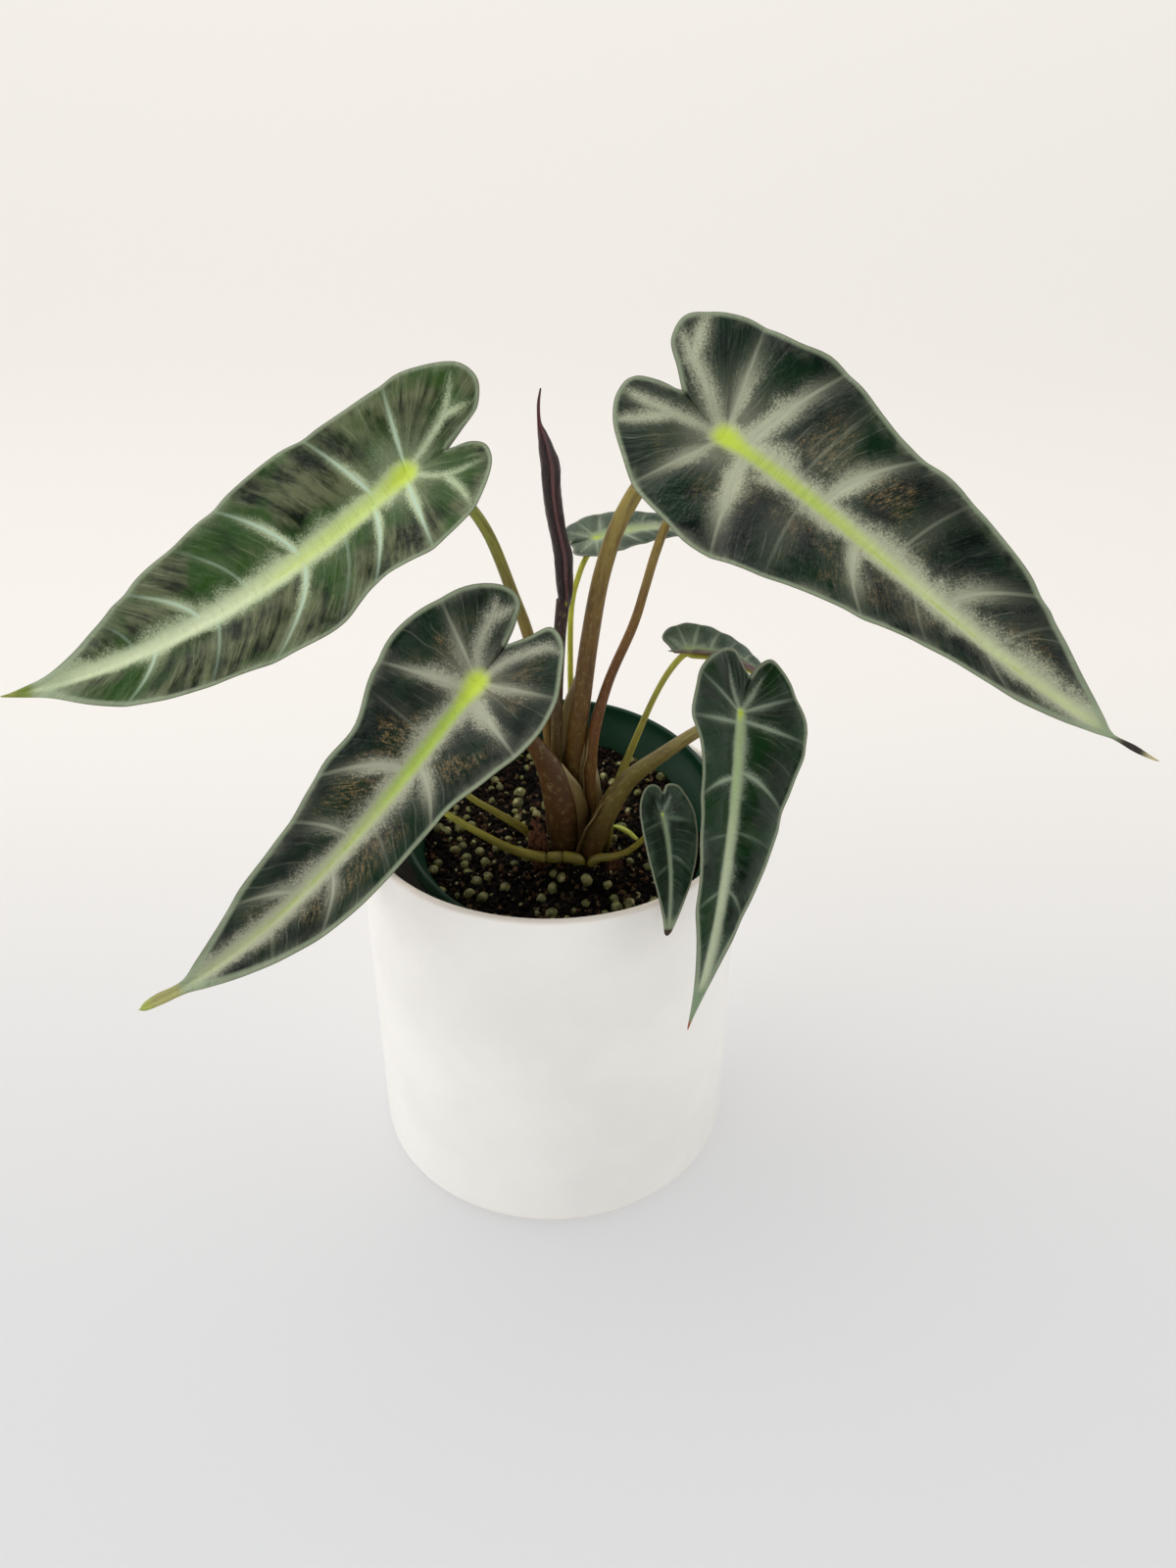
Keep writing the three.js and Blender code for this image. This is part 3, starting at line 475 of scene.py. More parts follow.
def nursery_pot():
    band = LINER_HEIGHT - LINER_BAND
    neck = LINER_RIM_RADIUS - LINER_BAND_STEP
    lip, foot = LINER_LIP_ROUND, LINER_FOOT_ROUND
    profile = [(0, 0), (LINER_FOOT_RADIUS - foot, 0)]
    profile += rounded((LINER_FOOT_RADIUS - foot, foot), foot, -80, -8, 4)
    profile += [(LINER_BEND_RADIUS, LINER_BEND_HEIGHT), (neck, band - 0.6), (neck + 0.5, band - 0.2)]
    profile += rounded((LINER_RIM_RADIUS - LINER_BAND_ROUND, band + 0.5), LINER_BAND_ROUND, -60, 0, 4)
    profile += rounded((LINER_RIM_RADIUS - lip, LINER_HEIGHT - lip), lip, 0, 180, 8)
    profile += [(LINER_RIM_RADIUS - 1.9, band + 0.9), (neck - LINER_WALL, band - 0.6)]
    profile += [(LINER_BEND_RADIUS - LINER_WALL, LINER_BEND_HEIGHT)]
    profile += [(LINER_FOOT_RADIUS - LINER_WALL, LINER_FLOOR), (0, LINER_FLOOR)]
    points, faces = turned(profile, LINER_AROUND)
    pot = new_piece("nursery_pot_moulded", in_liner(points), faces, green_plastic())
    for k in range(DRAIN_HOLES):
        turn = 2 * math.pi * (k + 0.5) / DRAIN_HOLES
        reach = DRAIN_REACH * LINER_FOOT_RADIUS
        post, sides = turned([(0, -4), (DRAIN_RADIUS, -4), (DRAIN_RADIUS, 4), (0, 4)], 32)
        post = in_liner(post + np.array([reach * math.cos(turn), reach * math.sin(turn), 0]))
        drill = new_piece("drill", post, sides, smooth=False)
        cut = pot.modifiers.new("drain", "BOOLEAN")
        cut.operation, cut.object, cut.solver = "DIFFERENCE", drill, "EXACT"
        settled(pot)
        bpy.data.objects.remove(drill)
    return pot


liner = nursery_pot()
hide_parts("nursery_pot")
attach(liner, "root")

# Leaves: each is a fleshy stem that runs on under an arrow-shaped blade as its midrib. The blade is a firm
# sheet, dark and glossy above, with silvery down along its veins, and wine red beneath. It swells between
# its side veins. A leaf is told by its flat outline, its stem, its midrib's curve and how its halves fold.
BLADE_THICKNESS = 0.6
EDGE_ROUND = 0.9
ROW_STEP = 0.95
ACROSS_STEPS = 30
FEWEST_ACROSS = 10
MARGIN_CROWDING = 1.35
LARGE_HALF_WIDTH = 22
QUILT_HEIGHT = 1.5
QUILT_GROOVE = 3.6
EDGE_RIPPLE = 1.2
PLEAT_HEIGHT = 0.13
PLEAT_SPACING = 3.1
VEIN_RIDGE = 0.4
VEIN_SINK = 0.2
RIB_SINK = 0.22
RIB_STEPS = 300
RIB_SHARES = (0.06, 0.2, 0.36, 0.52, 0.68, 0.84)
RIB_LEAST = 0.35
SLIM_STEM = 1.2
LIMB_END = 0.6
FAR_AWAY = 99.0
BLADE_FACTS = ("rib", "edge", "joint", "along", "cell", "spacing", "strength", "reach", "lobe")
OUTLINES = {
    "left": {
        "left": [(-13, 4), (-19, 7), (-22, 12), (-20, 18), (-14, 23), (-6, 26.3), (7, 26.5), (24, 23.2),
                 (38, 28), (54, 26.5), (72, 23), (88, 20), (103, 14), (116, 5.5), (124, 2), (130, 0)],
        "right": [(-13, -4), (-20, -2), (-27, 0.4), (-32, 6), (-31, 13), (-25, 18), (-15, 22.7),
                  (-4, 24.1), (12, 26.3), (28, 28.3), (45, 27.5), (64, 24.3), (82, 20.3), (96, 14),
                  (107, 7.5), (116, 3.3), (124, 1.4), (130, 0)],
    },
    "right": {
        "left": [(-17, 4), (-22, 8.7), (-27.8, 14), (-28.3, 21.3), (-21.9, 26.4), (-12, 29.9), (2, 31.5),
                 (12, 33.3), (25, 31), (39, 27.5), (56, 27.7), (72, 25.5), (89, 22), (104, 16),
                 (119, 8.5), (129, 3.4), (134.5, 0.8), (141, 1.1), (146, 0.6), (149, 0)],
        "right": [(-17, -4), (-25, -3), (-31.5, 0.3), (-31, 8.4), (-26, 17), (-18, 24.5), (-8, 32),
                  (4, 35.5), (16, 38), (32, 33), (48, 26.4), (65, 20.3), (81, 14.5), (98, 11.4),
                  (115, 8), (128, 3.4), (134.5, 0.8), (141, 1.1), (146, 0.6), (149, 0)],
    },
    "front_left": {
        "left": [(-13, 0), (-18, 4), (-23.5, 8), (-22, 14.3), (-16, 19.5), (-7, 24.7), (4, 26.3), (20, 22),
                 (33, 18), (50, 17.3), (67, 16.5), (82, 13.6), (97, 8.8), (108, 4.6), (114, 2.3),
                 (120, 1.7), (125, 1.2), (127, 0)],
        "right": [(-13, 0), (-19, 1.6), (-25, 5), (-25, 11.3), (-19, 18.5), (-8, 24), (4, 26.5), (17, 24.3),
                  (30, 19.3), (44, 19.6), (58, 16.8), (73, 14.5), (87, 12.2), (98, 8), (108, 4), (112.5, 2),
                  (116, 1.6), (121, 1.9), (125, 1.3), (127, 0)],
    },
    "front_right": {
        "left": [(-11, 2), (-15, 5), (-17, 9), (-13, 13.5), (-6, 18), (2, 21), (9, 20.8), (18, 17.7),
                 (28, 15), (38, 13), (49, 9.8), (60, 6.8), (71, 3.8), (82, 1.6), (93, 0)],
        "right": [(-11, -2), (-15, 0.5), (-18, 4), (-16.5, 9.5), (-11, 15.5), (-3, 18.4), (4, 18.7),
                  (12, 15), (22, 13.1), (34, 12), (46, 10.2), (57, 9), (68, 6), (80, 2.8), (87, 1.2),
                  (93, 0)],
    },
    "small_front": {
        "left": [(-6, 1.7), (-8, 3.5), (-7, 6.3), (-4, 7.8), (1, 9.1), (6, 9), (12, 8.1), (19, 6.4),
                 (25, 4.4), (31, 2.5), (35, 1.1), (36, 0)],
        "right": [(-6, -1.7), (-8.5, -0.5), (-9, 2.6), (-6.5, 5.6), (-2, 7.5), (5, 8), (12, 7.4), (18, 6),
                  (24, 4.3), (30, 2.4), (35, 1.1), (36, 0)],
    },
}
PLAIN_HALF = [(-0.17, 0.22), (-0.21, 0.4), (-0.2, 0.6), (-0.14, 0.82), (-0.03, 0.97), (0.1, 1),
              (0.28, 0.9), (0.46, 0.76), (0.64, 0.56), (0.8, 0.32), (0.9, 0.13), (1, 0)]
PLAIN_VEINS = [(-0.04, -0.07, 0.7), (0.04, 0.12, 0.8), (0.2, 0.3, 0.8), (0.36, 0.46, 0.5),
               (0.52, 0.62, 0.7)]


def plain_blade(length, half_width, lobe_end, notch=-0.13):
    """The outline and veins of a common blade, both halves alike, of that length ahead of the joint"""
    (first, widening), *others = PLAIN_HALF
    shares = [(notch, 0), (min(notch, first), widening), *others]
    half = [(along * length, across * half_width) for along, across in shares]
    veins = [(foot * length, end * length, strength) for foot, end, strength in PLAIN_VEINS]
    lobes = [[(0, 0), lobe_end]]
    return {name: {"left": each, "right": each}
            for name, each in (("outline", half), ("veins", veins), ("lobes", lobes))}


# Each leaf's stem has (x, y, z, radius) from the crown to the joint, its midrib the Bezier points from the
# joint to the tip, and its faces the way it looks at both. Its folds are in degrees, left and right of the
# midrib as seen from above with the tip ahead. A side vein has (foot along the midrib, end along the
# margin, strength), and a lobe's veins are lines of (along, across) from the joint.
LEAVES = [
    {
        "name": "leaf_left", "outline": OUTLINES["left"], "look": "glossy green",
        "stem": [(1.5, 8.5, 107, 2.3), (1, 9, 122, 2.6), (0.5, 9, 140, 2.5), (-1.5, 8.5, 160, 2.1),
                 (-6.3, 8, 184.5, 1.9), (-10.8, 8, 199, 1.8), (-18, 7.5, 219.5, 1.7), (-27, 7, 231.5, 1.7),
                 (-37.5, 4.5, 236.5, 1.7)],
        "midrib": [(-39, 0, 239), (-71, -11, 213), (-109, -26, 191), (-150, -37, 188)],
        "faces": [(-0.2, -0.78, 0.6), (0.1, -0.57, 0.82)], "fold": (17, 10),
        "veins": {
            "left": [(1, 7, 1), (13, 25, 1), (24, 39, 0.35), (38, 58, 0.95), (67, 75, 0.5), (86, 98, 0.75)],
            "right": [(-1, -11, 0.9), (11, 17, 0.9), (38, 52, 1), (55, 69, 0.45), (71, 88, 0.9),
                      (91, 98, 0.4)],
        },
        "lobes": {
            "left": [[(0, 0), (-8, 10), (-19, 15)], [(-8, 10), (-9, 18), (-8, 25)]],
            "right": [[(0, 0), (-18, 5), (-28, 13)], [(-18, 5), (-26, 3)]],
        },
    },
    {
        "name": "leaf_right", "outline": OUTLINES["right"], "look": "bronzed",
        "stem": [(6.5, 5, 104, 3.4), (7, 5.5, 124, 3.5), (7.6, 5, 145, 3.3), (9.8, 4.5, 165, 3),
                 (12.4, 4.5, 187, 2.8), (16, 5, 208, 2.6), (22, 5.5, 226, 2.5), (32, 7.5, 240, 2.4),
                 (46.5, 7, 246, 2.3)],
        "midrib": [(49, 2, 249), (89, -20, 229), (123, -42, 196), (167, -50, 177)],
        "faces": [(-0.03, -0.73, 0.68), (0.15, -0.6, 0.79)], "fold": (18, 19),
        "veins": {
            "left": [(-4, -8, 0.9), (6, 17, 1), (24, 28, 0.4), (33, 46, 1), (57, 64, 0.5), (76, 95, 0.9),
                     (94, 104, 0.4)],
            "right": [(-2, -10, 0.9), (8, 21, 1), (29, 35, 0.4), (47, 61, 0.95), (68, 79, 0.5),
                      (92, 105, 0.6)],
        },
        "lobes": {
            "left": [[(0, 0), (-11, 8), (-21, 14), (-26, 17)], [(-20, 13), (-23, 24)]],
            "right": [[(0, 0), (-21, 4), (-29, 5)], [(-16, 4), (-25, 15)]],
        },
    },
    {
        "name": "leaf_front_left", "outline": OUTLINES["front_left"], "look": "dusky",
        "stem": [(5, -3.5, 104, 3.4), (4.5, -3.5, 116, 4.4), (3, -4, 132, 5.2), (-0.5, -5.5, 147, 3.9),
                 (-6, -10, 160, 2.3), (-11, -18, 174, 1.9), (-15.5, -28, 186, 1.7),
                 (-17.5, -34.5, 190.5, 1.7)],
        "midrib": [(-18, -39, 194), (-43, -58, 167), (-69, -80, 136), (-107, -93, 124)],
        "faces": [(-0.1, -0.76, 0.64), (0.07, -0.64, 0.76)], "fold": (22, 9),
        "veins": {
            "left": [(-6, -9, 0.9), (5, 10, 1), (28, 39, 0.95), (48, 54, 0.4), (64, 78, 0.85),
                     (86, 91, 0.35)],
            "right": [(-7, -12, 0.8), (3, 12, 1), (20, 19, 0.3), (31, 48, 1), (54, 62, 0.75),
                      (75, 91, 0.85)],
        },
        "lobes": {
            "left": [[(0, 0), (-10, 4), (-18, 11), (-19, 15)]],
            "right": [[(0, 0), (-8, 6), (-17, 8), (-21, 10)], [(-16, 8), (-22, 5)]],
        },
    },
    {
        "name": "leaf_front_right", "outline": OUTLINES["front_right"], "look": "dark green",
        "stem": [(12.5, -4.5, 104, 3.1), (13.5, -4.7, 116, 3.8), (19, -5.5, 132, 3.6), (25, -8, 144, 2.9),
                 (35, -15, 157.5, 2.2), (43, -20.5, 167.5, 1.9), (51.5, -26, 176.5, 1.6)],
        "midrib": [(55, -30, 180), (53, -51, 158), (50, -67, 130), (41, -76, 102)],
        "faces": [(0.43, -0.67, 0.61), (0.35, -0.89, 0.28)], "fold": (9, 15),
        "veins": {
            "left": [(-3, -7, 0.8), (2, 6, 0.8), (17, 27, 0.85), (34, 38, 0.35), (50, 58, 0.6)],
            "right": [(-5, -9, 0.7), (3, 4, 0.8), (19, 25, 0.85), (35, 38, 0.35), (51, 57, 0.55)],
        },
        "lobes": {"left": [[(0, 0), (-6, 3.5), (-13, 7)]], "right": [[(0, 0), (-7, 4), (-15, 6)]]},
    },
    {
        "name": "leaf_hidden_right", "look": "dark green", **plain_blade(78, 20, (-13, 11)),
        "stem": [(13.5, 4, 104, 2), (13.3, 4, 124, 2.3), (13, 4, 148, 2.1), (17.8, 5, 170, 1.6),
                 (25.5, 8, 189, 1.5), (29, 10, 201, 1.4), (32, 13, 211, 1.4), (36, 17, 220, 1.4),
                 (43, 23, 224, 1.3)],
        "midrib": [(44, 22, 226), (62, 33, 220), (84, 46, 203), (99, 52, 182)],
        "faces": [(-0.1, -0.5, 0.85), (0.2, -0.3, 0.85)], "fold": (10, 10),
    },
    {
        "name": "leaf_small_front", "outline": OUTLINES["small_front"], "look": "small green",
        "stem": [(13.5, -9.6, 104, 1.3), (13.3, -9.8, 112.6, 1.6), (16, -10.6, 115.3, 1.5),
                 (20, -11, 116, 1.3), (25, -12, 119, 1.1), (29.5, -18, 128, 0.9), (31.5, -29, 141, 0.9),
                 (32.5, -41, 152.5, 0.9)],
        "midrib": [(33, -46, 156), (36, -51, 146), (36, -56, 135), (35, -60, 123)],
        "faces": [(0.3, -0.82, 0.5), (0.36, -0.88, 0.32)], "fold": (15, 16),
        "veins": {"left": [(1, 4, 0.5), (12, 18, 0.5)], "right": [(2, 3, 0.5), (15, 18, 0.5)]},
        "lobes": {"left": [[(0, 0), (-4, 3), (-6, 4)]], "right": [[(0, 0), (-6, 1.5)]]},
    },
    {
        "name": "leaf_rear", "look": "silvery green", **plain_blade(44, 9.5, (-7, 5), notch=-0.19),
        "stem": [(6, 11.5, 108, 0.9), (6.3, 12, 128, 0.9), (6.3, 12, 160, 0.9), (6.5, 12.5, 191, 0.9),
                 (9, 15, 203, 0.9), (12, 20, 208, 0.9), (13.6, 24, 208.6, 0.9)],
        "midrib": [(14, 25, 210.5), (29, 31, 213), (43, 37, 211), (54, 42, 204)],
        "faces": [(-0.1, -0.35, 0.93), (0.1, -0.2, 0.97)], "fold": (6, 6),
    },
    {
        "name": "leaf_rear_right", "look": "silvery green", **plain_blade(36, 10, (-6, 5)),
        "stem": [(18.5, 1, 104, 1.4), (18.5, 1, 112, 1.5), (19.5, 2, 126, 1.6), (22, 3.5, 136, 1.5),
                 (26, 5, 147.5, 1.2), (32, 5, 164.5, 1), (36.5, 4, 175, 1), (41, 2, 182.3, 1)],
        "midrib": [(42, 0, 184), (52, 2, 183), (63, 5, 177), (73, 8, 165)],
        "faces": [(-0.05, -0.15, 1), (0.3, -0.15, 0.9)], "fold": (30, 38),
    },
    {
        "name": "leaf_low_front", "look": "small green", **plain_blade(40, 10.5, (-7, 6)),
        "stem": [(8.5, -9, 104, 1.6), (9.4, -9.7, 112.8, 2.1), (5, -10.6, 115.6, 2), (-3, -10.6, 115.6, 1.8),
                 (-13, -9.5, 118, 1.5), (-25, -12, 127.5, 1.2), (-33, -15.5, 136, 1), (-39.5, -20, 143, 1)],
        "midrib": [(-41, -22, 145), (-51, -29, 141), (-62, -36, 132), (-69, -41, 119)],
        "faces": [(-0.3, -0.6, 0.75), (-0.5, -0.5, 0.6)], "fold": (8, 8),
    },
    {
        "name": "leaf_low_rear", "look": "small green", **plain_blade(34, 9, (-6, 5)),
        "stem": [(-1, 0.5, 104, 1.5), (-1.6, 0, 111, 1.9), (-7, -2, 119, 1.6), (-17, -4, 128, 1.2),
                 (-27, -6, 137, 1), (-36, -5, 149, 0.9), (-40, 0, 158, 0.9)],
        "midrib": [(-40.5, 1.5, 160), (-50, 4, 159), (-60, 7, 153), (-68, 10, 142)],
        "faces": [(-0.2, -0.5, 0.85), (-0.4, -0.4, 0.8)], "fold": (8, 8),
    },
]


def hermite(before, start, end, after, share):
    """A point between start and end on a smooth line, with its neighbours on either side"""
    share = np.asarray(share)[:, None]
    leave, arrive = (end - before) / 2, (after - start) / 2
    bend = (2 * start - 2 * end + leave + arrive) * share**3
    return bend + (3 * end - 3 * start - 2 * leave - arrive) * share**2 + leave * share + start


def smooth_line(points, per_step, run_on):
    """A smooth line through points. At its ends it either runs straight on or starts from rest"""
    given = np.array(points, float)
    first = 2 * given[0] - given[1] if run_on else given[0]
    last = 2 * given[-1] - given[-2] if run_on else given[-1]
    padded = np.vstack([first, given, last])
    shares = np.arange(per_step) / per_step
    spans = [hermite(*padded[k:k + 4], shares) for k in range(len(given) - 1)]
    return np.vstack([*spans, given[-1:]])


def distances(line):
    """How far along a line each of its points lies"""
    return np.concatenate([[0], np.cumsum(np.linalg.norm(np.diff(line, axis=0), axis=1))])


def points_at(wanted, given, line):
    """The points of a line at the wanted places, from its points at the given ones"""
    return np.stack([np.interp(wanted, given, column) for column in line.T], axis=-1)


def evenly(line, count):
    """The line with count + 1 points at even distances"""
    gone = distances(line)
    return points_at(np.linspace(0, gone[-1], count + 1), gone, line)


def unit(vectors):
    return vectors / np.linalg.norm(vectors, axis=-1, keepdims=True)


def blade_surface(leaf):
    """The blade's surface, as a function that takes places on the flat outline and a lift, in arrays, and
    gives points in space, and the midrib's length"""
    share = np.linspace(0, 1, 401)[:, None]
    knots = np.array(leaf["midrib"], float)
    weights = np.hstack([(1 - share)**3, 3 * share * (1 - share)**2, 3 * share**2 * (1 - share), share**3])
    line = weights @ knots
    rib = evenly(line, RIB_STEPS)
    ahead = unit(np.gradient(rib, axis=0))
    length = np.linalg.norm(np.diff(line, axis=0), axis=1).sum()
    at_joint, at_tip = (np.array(face) / np.linalg.norm(face) for face in leaf["faces"])
    folds = np.radians(leaf["fold"])
    steps = np.arange(RIB_STEPS + 1)

    def place(along, across, lift):
        share = np.clip(along / length, 0, 1)
        on_rib = points_at(share * RIB_STEPS, steps, rib)
        forward = unit(points_at(share * RIB_STEPS, steps, ahead))
        up = at_joint + (at_tip - at_joint) * share[..., None]
        up = unit(up - (up * forward).sum(-1, keepdims=True) * forward)
        left = np.cross(up, forward)
        angle = np.where(across >= 0, folds[0], folds[1])
        return (on_rib + forward * (along - share * length)[..., None]
                + left * (across * np.cos(angle))[..., None]
                + up * (np.abs(across) * np.sin(angle) + lift)[..., None])

    return place, length


def distance_to(line, places):
    """The distance of each place to a line of points, and how far along the line the nearest point lies"""
    best = np.full(len(places), 1e9)
    share = np.zeros(len(places))
    for k, (start, end) in enumerate(zip(line[:-1], line[1:])):
        span = end - start
        t = np.clip(((places - start) @ span) / (span @ span), 0, 1)
        gap = np.linalg.norm(places - start - t[:, None] * span, axis=1)
        nearer = gap < best
        best[nearer] = gap[nearer]
        share[nearer] = (k + t[nearer]) / (len(line) - 1)
    return best, share


def margin_rows(leaf, length):
    """Rows from the midrib to the margin, for both halves alike: where each starts, and for each half where
    it ends and its number, which is whole on a side vein, 0 at the lobe's end and -1 at the notch"""
    margins, gone, lobe_ends, knots = {}, {}, {}, {}
    for side, half in leaf["outline"].items():
        line = smooth_line(half, 24, False)
        margins[side], gone[side] = line, distances(line)
        lobe_ends[side] = line[:, 0].argmin()
        ahead = line[lobe_ends[side]:, 0]
        ends = [gone[side][lobe_ends[side] + np.argmax(ahead >= end)] for _, end, _ in leaf["veins"][side]]
        knots[side] = np.array([0, gone[side][lobe_ends[side]], *ends, gone[side][-1]])
    at_notch = max(gone[side][lobe_ends[side]] for side in margins)
    notch_rows = math.ceil(at_notch / ROW_STEP)
    fan_ends = {}
    for side in margins:
        feet = [foot for foot, _, _ in leaf["veins"][side]]
        fan_ends[side] = np.interp(0, [-12, *feet], knots[side][1:-1])
    fan_rows = math.ceil(max(fan_ends[side] - knots[side][1] for side in margins) / ROW_STEP)
    long_rows = math.ceil(max(gone[side][-1] - fan_ends[side] for side in margins) / ROW_STEP)

    notch = np.array(leaf["outline"]["left"][0], float)
    back = 1 - np.arange(notch_rows) / notch_rows
    ahead = np.linspace(0, length, long_rows + 1)
    starts = np.vstack([notch * back[:, None], np.zeros((fan_rows, 2)),
                        np.stack([ahead, 0 * ahead], axis=1)])
    ends, cells = {}, {}
    for side, line in margins.items():
        feet = [foot for foot, _, _ in leaf["veins"][side]]
        ahead_knots = [k for k, foot in enumerate(feet) if foot > 0]
        places = np.interp(ahead, [0, *[feet[k] for k in ahead_knots], length],
                           [fan_ends[side], *[knots[side][k + 2] for k in ahead_knots], gone[side][-1]])
        where = np.concatenate([
            np.linspace(0, knots[side][1], notch_rows, endpoint=False),
            np.linspace(knots[side][1], fan_ends[side], fan_rows, endpoint=False), places])
        ends[side] = points_at(where, gone[side], line)
        cells[side] = np.interp(where, knots[side], np.arange(-1, len(knots[side]) - 1))
    starts[-1] = ends["left"][-1]
    return starts, ends, cells


def bell(distance, width):
    """1 on a line, falling softly to 0 at about twice the width away from it"""
    return np.exp(-(distance / width) ** 2)


def half_blade(leaf, side, sign, size, out, starts, ends, cells, place, length):
    """One half's rows of points: their places on the flat outline, the upper and the lower face's points in
    space, and what each knows: the BLADE_FACTS, then how far along the rows and how far across it lies"""
    rows, row_points = len(starts), len(out)
    cell = np.repeat(cells, row_points)
    reach = np.tile(out, rows)
    start, edge = np.repeat(starts, row_points, axis=0), np.repeat(ends, row_points, axis=0)
    bend = 1 + 0.8 * np.clip(start[:, 0] / length / 0.12, 0, 1)
    along = start[:, 0] + (edge[:, 0] - start[:, 0]) * reach**bend
    across = start[:, 1] + (sign * edge[:, 1] - start[:, 1]) * reach
    flat = np.stack([along, sign * across], axis=1)
    edge_gap = distance_to(ends, flat)[0]
    rib_gap = np.where(along > 0, np.abs(across), np.hypot(along, across))

    # How far apart the side veins are, how strong the nearest is, and how far a point is from one
    grid = flat.reshape(rows, row_points, 2)
    per_cell = np.gradient(grid, axis=0) / np.maximum(np.gradient(cells), 1e-3)[:, None, None]
    way = unit(np.gradient(grid, axis=1) + 1e-9)
    spacing = np.abs(per_cell[..., 0] * way[..., 1] - per_cell[..., 1] * way[..., 0]).ravel()
    spacing = np.clip(spacing, 0.5, 60)
    strengths = [0, 0, *[strength for _, _, strength in leaf["veins"][side]], 0]
    strength = np.interp(cell, np.arange(-1, len(strengths) - 1), strengths)
    gap = np.abs(cell - np.round(cell)) * spacing
    lobe = np.full(len(flat), FAR_AWAY)
    for line in leaf["lobes"][side]:
        away, share = distance_to(smooth_line(line, 8, True), flat)
        lobe = np.minimum(lobe, away + 1.6 * share**3)

    # The blade swells between its veins, and its margin ripples
    groove = np.maximum(strength * bell(gap, QUILT_GROOVE * size), 0.8 * bell(lobe, QUILT_GROOVE * size))
    groove = np.maximum(groove, bell(rib_gap, QUILT_GROOVE))
    gone = np.repeat(np.arange(rows) * ROW_STEP, row_points)
    drift = np.array([noise.noise((g * 0.09, o * 0.12, sign * 3.0)) for g, o in zip(gone, across)])
    patch = np.array([noise.noise((a * 0.07, o * 0.09, sign * 9.0)) for a, o in zip(along, across)])
    pleat = np.sin(2 * math.pi * (gone / PLEAT_SPACING + 2.2 * drift)) * np.clip(0.5 + 1.6 * patch, 0, 1)
    swell = QUILT_HEIGHT * (1 - groove) * np.sin(math.pi * np.minimum(1, reach * 1.1))
    ripple = EDGE_RIPPLE * (0.5 - groove) * reach**3
    fine = PLEAT_HEIGHT * pleat * (1 - groove) * np.clip(edge_gap / 3, 0, 1)
    lift = size * (swell * (1 + 0.5 * patch) + ripple + fine)
    open_share = np.clip(edge_gap / 2, 0, 1)
    sunk = RIB_SINK * bell(rib_gap, 1.1) + VEIN_SINK * strength * bell(gap, 0.8)
    ridge = VEIN_RIDGE * strength * bell(gap, 0.9)
    half_thick = BLADE_THICKNESS / 2 * np.sqrt(np.clip(edge_gap / EDGE_ROUND, 0, 1))
    upper = place(along, across, lift + half_thick - size * sunk * open_share)
    lower = place(along, across, lift - half_thick - size * ridge * open_share)
    facts = np.stack([rib_gap, edge_gap, np.hypot(along, across), along / length, cell, spacing, strength,
                      reach, lobe, gone, across], axis=1)
    return along, across, upper, lower, facts


def blade(leaf):
    """The blade's points, its upper and lower faces, and what each point knows of its place on the blade"""
    place, length = blade_surface(leaf)
    starts, ends, cells = margin_rows(leaf, length)
    rows = len(starts)
    half_width = max(points[:, 1].max() for points in ends.values())
    size = min(1.0, half_width / LARGE_HALF_WIDTH)
    steps = max(FEWEST_ACROSS, round(ACROSS_STEPS * size))
    out = 1 - (1 - np.arange(steps + 1) / steps) ** MARGIN_CROWDING
    points, faces, lower_faces, knows = [], [], [], []
    on_axis = {}
    for side, sign in (("left", 1), ("right", -1)):
        along, across, upper, lower, facts = half_blade(
            leaf, side, sign, size, out, starts, ends[side], cells[side], place, length)
        ids = np.zeros((rows, steps + 1, 2), int)
        for k in range(len(along)):
            row, step = divmod(k, steps + 1)
            closing = step == steps or row == rows - 1
            key = (round(along[k], 2), round(across[k], 2)) if step == 0 or row == rows - 1 else None
            shared = on_axis.get(key) if key else None
            if shared is None:
                shared = (len(points), len(points) if closing else len(points) + 1)
                points.append(upper[k])
                knows.append(facts[k])
                if not closing:
                    points.append(lower[k])
                    knows.append(facts[k])
                if key:
                    on_axis[key] = shared
            ids[row, step] = shared
        for row in range(rows - 1):
            for step in range(steps):
                corners = [(row, step), (row + 1, step), (row + 1, step + 1), (row, step + 1)]
                for which, target in ((0, faces), (1, lower_faces)):
                    loop = [int(ids[r, s, which]) for r, s in corners]
                    if (sign > 0) != (which == 0):
                        loop.reverse()
                    loop = [v for n, v in enumerate(loop) if v != loop[n - 1]]
                    if len(set(loop)) > 2:
                        target.append(loop)
    return np.array(points), faces, lower_faces, np.array(knows), place, length


def tube_faces(rows, around):
    """The faces of rings that are joined one to the next. Each end has a fan to a middle point, and the two
    middle points come after the rings"""
    faces = []
    for row in range(rows - 1):
        for k in range(around):
            here, there = row * around, (row + 1) * around
            following = (k + 1) % around
            faces.append([here + k, here + following, there + following, there + k])
    for row, middle, turned_over in ((0, rows * around, True), (rows - 1, rows * around + 1, False)):
        for k in range(around):
            pair = (row * around + k, row * around + (k + 1) % around)
            faces.append([*(pair[::-1] if turned_over else pair), middle])
    return faces


